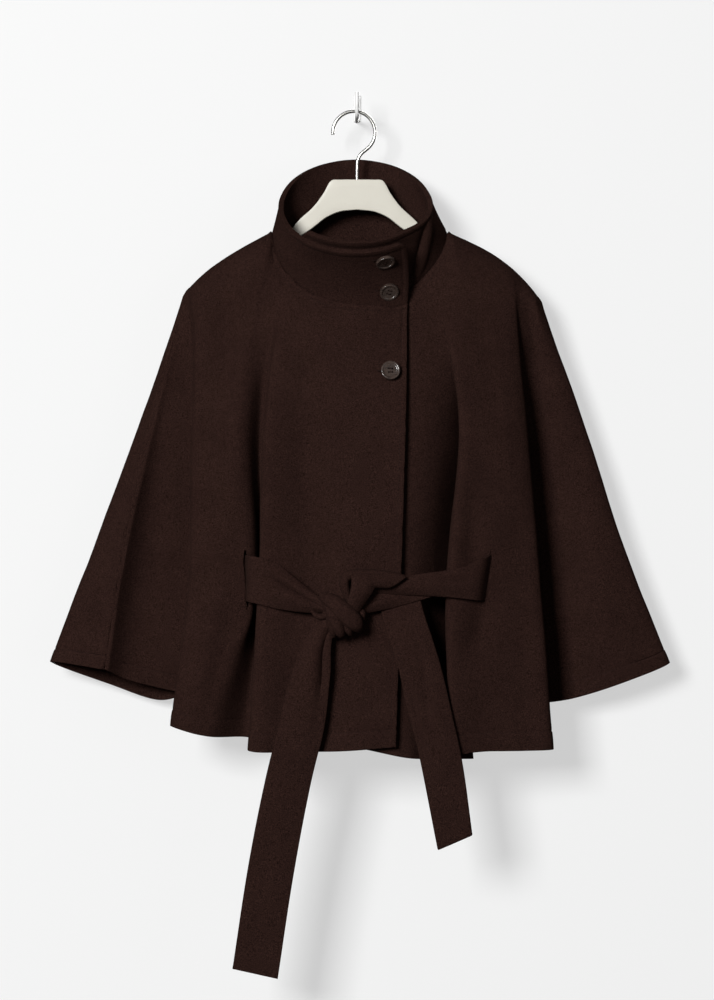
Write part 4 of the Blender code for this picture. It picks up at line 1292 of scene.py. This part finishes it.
def stitch_piece(name, lines, size, thread):
    points, faces = merged([stitches(*line, size) for line in lines])
    return takes_part(mesh_object(name, points, faces, thread), "wool")


def jacket():
    return bpy.context.scene.jacket


def wool():
    return wool_material(tuple(jacket().cloth.colour))


# The wool's colour darkened, as painted shade of the stitch holes and buttonhole ends
def thread():
    return thread_material(lighter(jacket().cloth.colour, THREAD_WITH_PAINTED_SHADE))


def wire_object(name, route, across, finish):
    """A round wire along a route of points in millimetres."""
    bpy.ops.curve.primitive_nurbs_path_add()
    made = bpy.context.object
    made.name = name
    curve = made.data
    curve.splines.clear()
    spline = curve.splines.new("POLY")
    spline.points.add(len(route) - 1)
    for point, place in zip(spline.points, metres(route)):
        point.co = (*place, 1.0)
    curve.dimensions = "3D"
    curve.bevel_depth = across / 2
    curve.bevel_resolution = 6
    curve.use_fill_caps = True
    only(made)
    bpy.ops.object.convert(target="MESH")
    made = bpy.context.object
    made.data.materials.clear()
    made.data.materials.append(finish)
    weld = made.modifiers.new("Weld", "WELD")
    weld.merge_threshold = WELD_WITHIN
    round_edges(made, across / 5, WIRE_EDGE, segments=3)
    bpy.ops.object.shade_smooth()
    return made


def seat_of(node):
    """Where a flat CAD node sits, and which way it faces: its middle and its thinnest direction."""
    points = np.array([vertex.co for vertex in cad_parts[node].data.vertices])
    middle = points.mean(axis=0)
    facing = np.linalg.svd(points - middle)[2][2]
    if facing[1] > 0:
        facing = -facing
    up = np.array([0.0, 0.0, 1.0]) - facing * facing[2]
    up /= np.linalg.norm(up)
    side = np.cross(up, facing)
    axes = Matrix((side, up, facing)).transposed().to_4x4()
    return Matrix.Translation(middle) @ axes


def select_facing_up():
    """In edit mode, selects the face that looks straight up."""
    edit = bmesh.from_edit_mesh(bpy.context.object.data)
    for face in edit.faces:
        face.select_set(face.normal.z > FACING_UP)
    bmesh.update_edit_mesh(bpy.context.object.data)


def holes_at(size):
    reach = size.hole_spread
    return [(reach, reach), (-reach, reach), (-reach, -reach), (reach, -reach)]


def button_blank(name, size, horn):
    """A turned button: a raised round rim, a dished middle and four sewing holes."""
    bpy.ops.mesh.primitive_cylinder_add(vertices=64, radius=size.radius, depth=size.thickness)
    made = bpy.context.object
    made.name = name
    bpy.ops.object.mode_set(mode="EDIT")
    bpy.ops.mesh.select_mode(type="FACE")
    select_facing_up()
    bpy.ops.mesh.inset(thickness=size.rim_width)
    bpy.ops.mesh.inset(thickness=size.rim_width * BUTTON_SLOPE)
    bpy.ops.transform.translate(value=(0.0, 0.0, -size.dish))
    bpy.ops.object.mode_set(mode="OBJECT")
    round_edges(made, size.rim_width * BUTTON_ROUND, BUTTON_EDGE, segments=4)
    for x, y in holes_at(size):
        bpy.ops.mesh.primitive_cylinder_add(
            vertices=20, radius=size.hole_radius, depth=size.thickness * 3, location=(x, y, 0.0)
        )
        drill = bpy.context.object
        cut = made.modifiers.new("Hole", "BOOLEAN")
        cut.object = drill
        apply_all(made)
        bpy.data.objects.remove(drill)
    made.data.materials.clear()
    made.data.materials.append(horn)
    only(made)
    bpy.ops.object.shade_smooth_by_angle(angle=math.radians(SMOOTH_BELOW))
    return made


def placed(made, seat):
    """Moves a piece modelled at the origin to its seat, and makes that its rest place."""
    made.matrix_world = seat
    only(made)
    bpy.ops.object.transform_apply(location=True, rotation=True, scale=True)
    return made


def seated(seat, points):
    """Points of a seat in metres as cloth points (x, depth, z), with the way out of the cloth."""
    placed_points = [seat @ Vector(point) for point in points]
    out = seat.to_3x3() @ Vector((0.0, 0.0, 1.0))
    return np.array([(p.x, -p.y, p.z) for p in placed_points]) / MM, np.array([(out.x, -out.y, out.z)])


def button_thread_bars(size, seat):
    """Two lengths of thread over the bridges between a button's holes."""
    top = size.thickness / 2 - size.dish
    flat, out = seated(seat, [(x, y, top) for x, y in holes_at(size)])
    width = size.hole_radius * SEWING_WIDTH / MM
    return thread_bars(flat[[0, 3]], flat[[1, 2]], np.repeat(out, 2, axis=0), width, width * SEWING_LIFT)


def buttonhole_bars(size, seat):
    """The worked end of a buttonhole that shows beside its button."""
    reach = size.radius + BUTTONHOLE_END * MM
    tuck = size.radius - BUTTONHOLE_TUCK * MM
    flat, out = seated(seat, [(-reach, 0.0, -size.thickness / 2), (-tuck, 0.0, -size.thickness / 2)])
    return thread_bars(flat[:1], flat[1:], out, BUTTONHOLE_WIDTH, 0.0)


def hanger_board(name, size, lacquer):
    """The flat board: a grid drawn out to the hanger's outline, thickened, its edges eased."""
    columns = 140
    bpy.ops.mesh.primitive_grid_add(x_subdivisions=columns, y_subdivisions=4, size=2.0)
    made = bpy.context.object
    made.name = name
    rows = np.array(HANGER, float)
    knots = even_knots(rows)
    for vertex in made.data.vertices:
        x, top, low = through(rows, knots, [abs(vertex.co.x) * knots[-1]])[0]
        share = (vertex.co.y + 1) / 2
        height = low + (top - low) * share
        front = HANGER_DEPTH + size.thickness / MM / 2
        vertex.co = Vector(metres((math.copysign(x, vertex.co.x), front, height)))
    bpy.ops.object.mode_set(mode="EDIT")
    bpy.ops.mesh.select_all(action="SELECT")
    bpy.ops.mesh.extrude_region_move(TRANSFORM_OT_translate={"value": (0.0, size.thickness, 0.0)})
    bpy.ops.mesh.select_all(action="SELECT")
    bpy.ops.mesh.normals_make_consistent(inside=False)
    bpy.ops.object.mode_set(mode="OBJECT")
    made.data.materials.append(lacquer)
    round_edges(made, size.eased, BOARD_EDGE, segments=4)
    bpy.ops.object.shade_smooth_by_angle(angle=math.radians(SMOOTH_BELOW))
    return made


def hook_route():
    """The hanger wire: round the hook, then down the swan neck."""
    turns = np.radians(np.linspace(HOOK_FROM, HOOK_TO, HOOK_STEPS))
    hook = [(HOOK_X + HOOK_RADIUS * math.cos(t), HOOK_Z + HOOK_RADIUS * math.sin(t)) for t in turns]
    neck = np.array([hook[-1], *SWAN_NECK])
    knots = even_knots(neck)
    down = through(neck, knots, np.linspace(knots[0], knots[-1], HOOK_STEPS // 2))[1:]
    return [(x, HANGER_DEPTH, z) for x, z in (*hook, *down)]


def rod_route():
    """The wall hook's rod: straight out, then turned up at its end."""
    rows = np.array(ROD)
    knots = even_knots(rows)
    return [(0.0, d, z) for d, z in through(rows, knots, np.linspace(knots[0], knots[-1], HOOK_STEPS))]


def soft_light(name, power, place, size):
    """A square area light that looks at the jacket."""
    bpy.ops.object.light_add(type="AREA", location=place)
    made = bpy.context.object
    made.name = name
    made.data.energy = power
    made.data.size = size
    made.rotation_euler = (LOOK_AT - Vector(place)).to_track_quat("-Z", "Y").to_euler()
    return made


class JacketCloth(bpy.types.PropertyGroup):
    wall: bpy.props.FloatProperty(
        name="Wool thickness", description="Thickness of a single layer of coat wool", default=0.0025,
        min=0.001, max=0.005, unit="LENGTH", precision=4,
    )
    collar_wall: bpy.props.FloatProperty(
        name="Collar thickness", description="Thickness of the doubled collar", default=0.005,
        min=0.002, max=0.01, unit="LENGTH", precision=4,
    )
    belt_wall: bpy.props.FloatProperty(
        name="Belt thickness", description="Thickness of the turned and pressed belt", default=0.0044,
        min=0.002, max=0.008, unit="LENGTH", precision=4,
    )
    rim: bpy.props.FloatProperty(
        name="Cut edge rounding", description="Rounding of a single layer's edges", default=0.0009,
        min=0.0002, max=0.0012, unit="LENGTH", precision=4,
    )
    colour: bpy.props.FloatVectorProperty(
        name="Wool colour", description="Base colour of the wool", subtype="COLOR",
        default=(0.0212, 0.0104, 0.0083), min=0.0, max=1.0,
    )


class JacketStitch(bpy.types.PropertyGroup):
    length: bpy.props.FloatProperty(
        name="Stitch length", description="Length of one stitch", default=0.0026,
        min=0.001, max=0.006, unit="LENGTH", precision=4,
    )
    gap: bpy.props.FloatProperty(
        name="Gap", description="Bare cloth between two stitches", default=0.0009,
        min=0.0002, max=0.004, unit="LENGTH", precision=4,
    )
    width: bpy.props.FloatProperty(
        name="Thread width", description="Width of the thread as it lies", default=0.0008,
        min=0.0003, max=0.002, unit="LENGTH", precision=4,
    )
    lift: bpy.props.FloatProperty(
        name="Lift", description="How far the thread's middle lies above the cloth", default=-0.0001,
        min=-0.0005, max=0.001, unit="LENGTH", precision=5,
    )


class JacketButton(bpy.types.PropertyGroup):
    radius: bpy.props.FloatProperty(
        name="Radius", description="Half the button's width", default=0.0109,
        unit="LENGTH", precision=4,
    )
    thickness: bpy.props.FloatProperty(
        name="Thickness", description="Thickness at the rim", default=0.0042,
        unit="LENGTH", precision=4,
    )
    rim_width: bpy.props.FloatProperty(
        name="Rim width", description="Width of the raised rim", default=0.0021,
        unit="LENGTH", precision=4,
    )
    dish: bpy.props.FloatProperty(
        name="Dish", description="How far the middle lies below the rim", default=0.0012,
        unit="LENGTH", precision=4,
    )
    hole_radius: bpy.props.FloatProperty(
        name="Hole radius", description="Half the width of a sewing hole", default=0.0010,
        unit="LENGTH", precision=4,
    )
    hole_spread: bpy.props.FloatProperty(
        name="Hole spread", description="From the middle to a hole, sideways and up", default=0.0022,
        unit="LENGTH", precision=4,
    )
    colour: bpy.props.FloatVectorProperty(
        name="Horn colour", description="Base colour of the horn", subtype="COLOR",
        default=(0.030, 0.020, 0.016), min=0.0, max=1.0,
    )


class JacketHanging(bpy.types.PropertyGroup):
    thickness: bpy.props.FloatProperty(
        name="Board thickness", description="Thickness of the hanger's board", default=0.010,
        unit="LENGTH", precision=4,
    )
    eased: bpy.props.FloatProperty(
        name="Eased edge", description="Rounding of the board's edges", default=0.0022,
        unit="LENGTH", precision=4,
    )
    wire: bpy.props.FloatProperty(
        name="Hook wire", description="Thickness of the hanger's wire", default=0.004,
        unit="LENGTH", precision=4,
    )
    rod: bpy.props.FloatProperty(
        name="Wall rod", description="Thickness of the wall hook's rod", default=0.0046,
        unit="LENGTH", precision=4,
    )
    plate: bpy.props.FloatVectorProperty(
        name="Wall plate", description="Width, thickness and height of the wall plate", size=3,
        default=(0.008, 0.003, 0.032), unit="LENGTH", precision=4,
    )
    lacquer: bpy.props.FloatVectorProperty(
        name="Board colour", description="Colour of the board's lacquer", subtype="COLOR",
        default=(0.60, 0.575, 0.50), min=0.0, max=1.0,
    )


class JacketStage(bpy.types.PropertyGroup):
    paint: bpy.props.FloatVectorProperty(
        name="Wall colour", description="Colour of the painted wall", subtype="COLOR",
        default=(0.29, 0.292, 0.291), min=0.0, max=1.0,
    )
    key: bpy.props.FloatProperty(
        name="Key light", description="Power of the key light", default=365.0, unit="POWER",
    )
    fill: bpy.props.FloatProperty(
        name="Fill light", description="Power of the fill light", default=14.0, unit="POWER",
    )
    rear: bpy.props.FloatProperty(
        name="Rear light", description="Power of the light behind", default=110.0, unit="POWER",
    )
    room: bpy.props.FloatProperty(
        name="Room light", description="Strength of the light all round", default=0.09,
    )


class JacketSettings(bpy.types.PropertyGroup):
    cloth: bpy.props.PointerProperty(type=JacketCloth)
    stitch: bpy.props.PointerProperty(type=JacketStitch)
    button: bpy.props.PointerProperty(type=JacketButton)
    hanging: bpy.props.PointerProperty(type=JacketHanging)
    stage: bpy.props.PointerProperty(type=JacketStage)


class JACKET_OT_panels(bpy.types.Operator):
    """Hangs the two fronts and the back, each one sheet with its half of the sleeves"""

    bl_idname = "jacket.panels"
    bl_label = "Panels"

    def execute(self, context):
        cloth = jacket().cloth
        for name, sheet in garment(cloth.wall / MM).items():
            cloth_piece(name, sheet, cloth.rim / MM, name)
        return {"FINISHED"}


class JACKET_OT_collar(bpy.types.Operator):
    """Rolls the funnel collar round the neck, its end buttoned over"""

    bl_idname = "jacket.collar"
    bl_label = "Collar"

    def execute(self, context):
        sheet = collar_sheet(jacket().cloth.collar_wall / MM)
        cloth_piece("collar", sheet, COLLAR_RIM, "collar")
        return {"FINISHED"}


class JACKET_OT_belt(bpy.types.Operator):
    """Lays the belt: round inside, out through the slits, the bow's loop and both tails"""

    bl_idname = "jacket.belt"
    bl_label = "Belt"

    def execute(self, context):
        wall = jacket().cloth.belt_wall / MM
        for name, stations in BELT_STRETCHES.items():
            sheet = ribbon_sheet(stations, wall, FRONT_AT.get(name, 0.5))
            node = "belt_left_run" if name == "belt_left_fold" else name
            cloth_piece(name, sheet, BELT_RIM, node)
        return {"FINISHED"}


class JACKET_OT_knot(bpy.types.Operator):
    """Ties the knot: rolls of belt crossing over one another"""

    bl_idname = "jacket.knot"
    bl_label = "Knot"

    def execute(self, context):
        rolls = [roll_rings(lumps) for lumps in KNOT_ROLLS]
        parts = [(rings, rings_faces(*rings.shape[:2])) for rings in rolls]
        takes_part(mesh_object("belt_knot_wool", *merged(parts), wool()), "wool", "belt_knot")
        rings = roll_rings(LOOP_ROLL)
        faces = rings_faces(*rings.shape[:2])
        roll = mesh_object("belt_loop_roll", rings.reshape(-1, 3), faces, wool())
        takes_part(roll, "wool", "belt_loop")
        return {"FINISHED"}


class JACKET_OT_stitching(bpy.types.Operator):
    """Sews the topstitching: hems, front edges, neck seam and collar"""

    bl_idname = "jacket.stitching"
    bl_label = "Stitching"

    def execute(self, context):
        cloth = jacket().cloth
        for name, sheet in garment(cloth.wall / MM).items():
            lines = panel_stitch_lines(sheet, with_edge=name != "back")
            stitch_piece(f"{name}_topstitch", lines, jacket().stitch, thread())
        lines = collar_stitch_lines(collar_sheet(cloth.collar_wall / MM))
        stitch_piece("collar_topstitch", lines, jacket().stitch, thread())
        return {"FINISHED"}


class JACKET_OT_buttons(bpy.types.Operator):
    """Turns the three horn buttons and sews them on"""

    bl_idname = "jacket.buttons"
    bl_label = "Buttons"

    def execute(self, context):
        size = jacket().button
        horn = horn_material(tuple(size.colour))
        bars = []
        for node, (tip, turn) in BUTTONS.items():
            turned = Matrix.Rotation(math.radians(turn), 4, "Z")
            tipped = turned @ Matrix.Rotation(math.radians(tip), 4, "X")
            on_cloth = seat_of(node)
            seat = on_cloth @ Matrix.Translation((0.0, 0.0, BUTTON_LIFT)) @ tipped
            bars.append(buttonhole_bars(size, on_cloth))
            made = placed(button_blank(f"{node}_horn", size, horn), seat)
            takes_part(made, "horn", node)
            bars.append(button_thread_bars(size, seat))
        takes_part(mesh_object("button_thread", *merged(bars), thread()), "wool")
        return {"FINISHED"}


class JACKET_OT_hanger(bpy.types.Operator):
    """Makes the hanger's cream board and its wire hook"""

    bl_idname = "jacket.hanger"
    bl_label = "Hanger"

    def execute(self, context):
        size = jacket().hanging
        lacquer = lacquer_material(tuple(size.lacquer))
        takes_part(hanger_board("hanger_board", size, lacquer), "lacquer", "hanger")
        steel = metal_material("plated wire", PLATING, rough_low=0.22, rough_high=0.38, metallic=1.0)
        takes_part(wire_object("hanger_wire", hook_route(), size.wire, steel), "wire", "hanger_hook")
        return {"FINISHED"}


class JACKET_OT_wall_hook(bpy.types.Operator):
    """Makes the white wall hook: a small plate and its rod"""

    bl_idname = "jacket.wall_hook"
    bl_label = "Wall hook"

    def execute(self, context):
        size = jacket().hanging
        enamel = metal_material("white enamel", ENAMEL, rough_low=0.3, rough_high=0.45, metallic=0.0)
        bpy.ops.mesh.primitive_cube_add(size=1.0, location=(0.0, -size.plate[1] / 2, 0.0))
        plate = bpy.context.object
        plate.name = "wall_hook_plate"
        plate.scale = size.plate
        only(plate)
        bpy.ops.object.transform_apply(location=True, rotation=True, scale=True)
        plate.data.materials.append(enamel)
        round_edges(plate, size.plate[1] / 3, PLATE_EDGE, segments=3)
        bpy.ops.object.shade_smooth_by_angle(angle=math.radians(SMOOTH_BELOW))
        takes_part(plate, "enamel", "wall_hook")
        takes_part(wire_object("wall_hook_rod", rod_route(), size.rod, enamel), "enamel", "wall_hook")
        return {"FINISHED"}


class JACKET_OT_stage(bpy.types.Operator):
    """Sets the white wall behind, the soft lights, the pale room and the camera"""

    bl_idname = "jacket.stage"
    bl_label = "Stage"

    def execute(self, context):
        stage = jacket().stage
        bpy.ops.mesh.primitive_plane_add(
            size=WALL_SIZE, location=(0.0, WALL_BEHIND, 0.0), rotation=(math.radians(90), 0.0, 0.0)
        )
        wall = bpy.context.object
        wall.name = "painted_wall"
        wall.data.materials.append(wall_paint(tuple(stage.paint)))
        for ray in ("diffuse", "glossy", "transmission", "shadow"):
            setattr(wall, f"visible_{ray}", False)
        lights = [
            soft_light("key light", stage.key, KEY_PLACE, KEY_SIZE),
            soft_light("fill light", stage.fill, FILL_PLACE, FILL_SIZE),
            soft_light("rear light", stage.rear, REAR_PLACE, REAR_SIZE),
        ]
        scene = context.scene
        scene.world = bpy.data.worlds.new("pale room")
        scene.world.use_nodes = True
        room = scene.world.node_tree.nodes["Background"]
        room.inputs["Color"].default_value = ROOM_TINT
        room.inputs["Strength"].default_value = stage.room
        bpy.ops.object.camera_add(location=CAMERA_PLACE, rotation=(math.radians(90), 0.0, 0.0))
        scene.camera = context.object
        scene.camera.data.lens = CAMERA_LENS
        scene.camera.data.clip_end = CAMERA_REACH
        scene.view_settings.view_transform = "Standard"
        return {"FINISHED"}


class JACKET_PT_panel(bpy.types.Panel):
    """Every step of the jacket, in order"""

    bl_idname = "JACKET_PT_panel"
    bl_label = "Belted cape jacket"
    bl_space_type = "VIEW_3D"
    bl_region_type = "UI"
    bl_category = "Jacket"

    def draw(self, context):
        for step in STEPS:
            self.layout.operator(step.bl_idname)
        for group in ("cloth", "stitch", "button", "hanging", "stage"):
            box = self.layout.box()
            settings = getattr(context.scene.jacket, group)
            for name in settings.bl_rna.properties.keys():
                if name not in ("rna_type", "name"):
                    box.prop(settings, name)


STEPS = (
    JACKET_OT_panels,
    JACKET_OT_collar,
    JACKET_OT_belt,
    JACKET_OT_knot,
    JACKET_OT_stitching,
    JACKET_OT_buttons,
    JACKET_OT_hanger,
    JACKET_OT_wall_hook,
    JACKET_OT_stage,
)
CLASSES = (
    JacketCloth,
    JacketStitch,
    JacketButton,
    JacketHanging,
    JacketStage,
    JacketSettings,
    *STEPS,
    JACKET_PT_panel,
)


def register():
    for each in CLASSES:
        bpy.utils.register_class(each)
    bpy.types.Scene.jacket = bpy.props.PointerProperty(type=JacketSettings)


def unregister():
    del bpy.types.Scene.jacket
    for each in reversed(CLASSES):
        bpy.utils.unregister_class(each)


def main():
    register()
    bpy.ops.object.select_all(action="DESELECT")
    bpy.ops.jacket.panels()
    bpy.ops.jacket.collar()
    bpy.ops.jacket.belt()
    bpy.ops.jacket.knot()
    bpy.ops.jacket.stitching()
    bpy.ops.jacket.buttons()
    bpy.ops.jacket.hanger()
    bpy.ops.jacket.wall_hook()
    bpy.ops.jacket.stage()


if __name__ == "__main__":
    main()
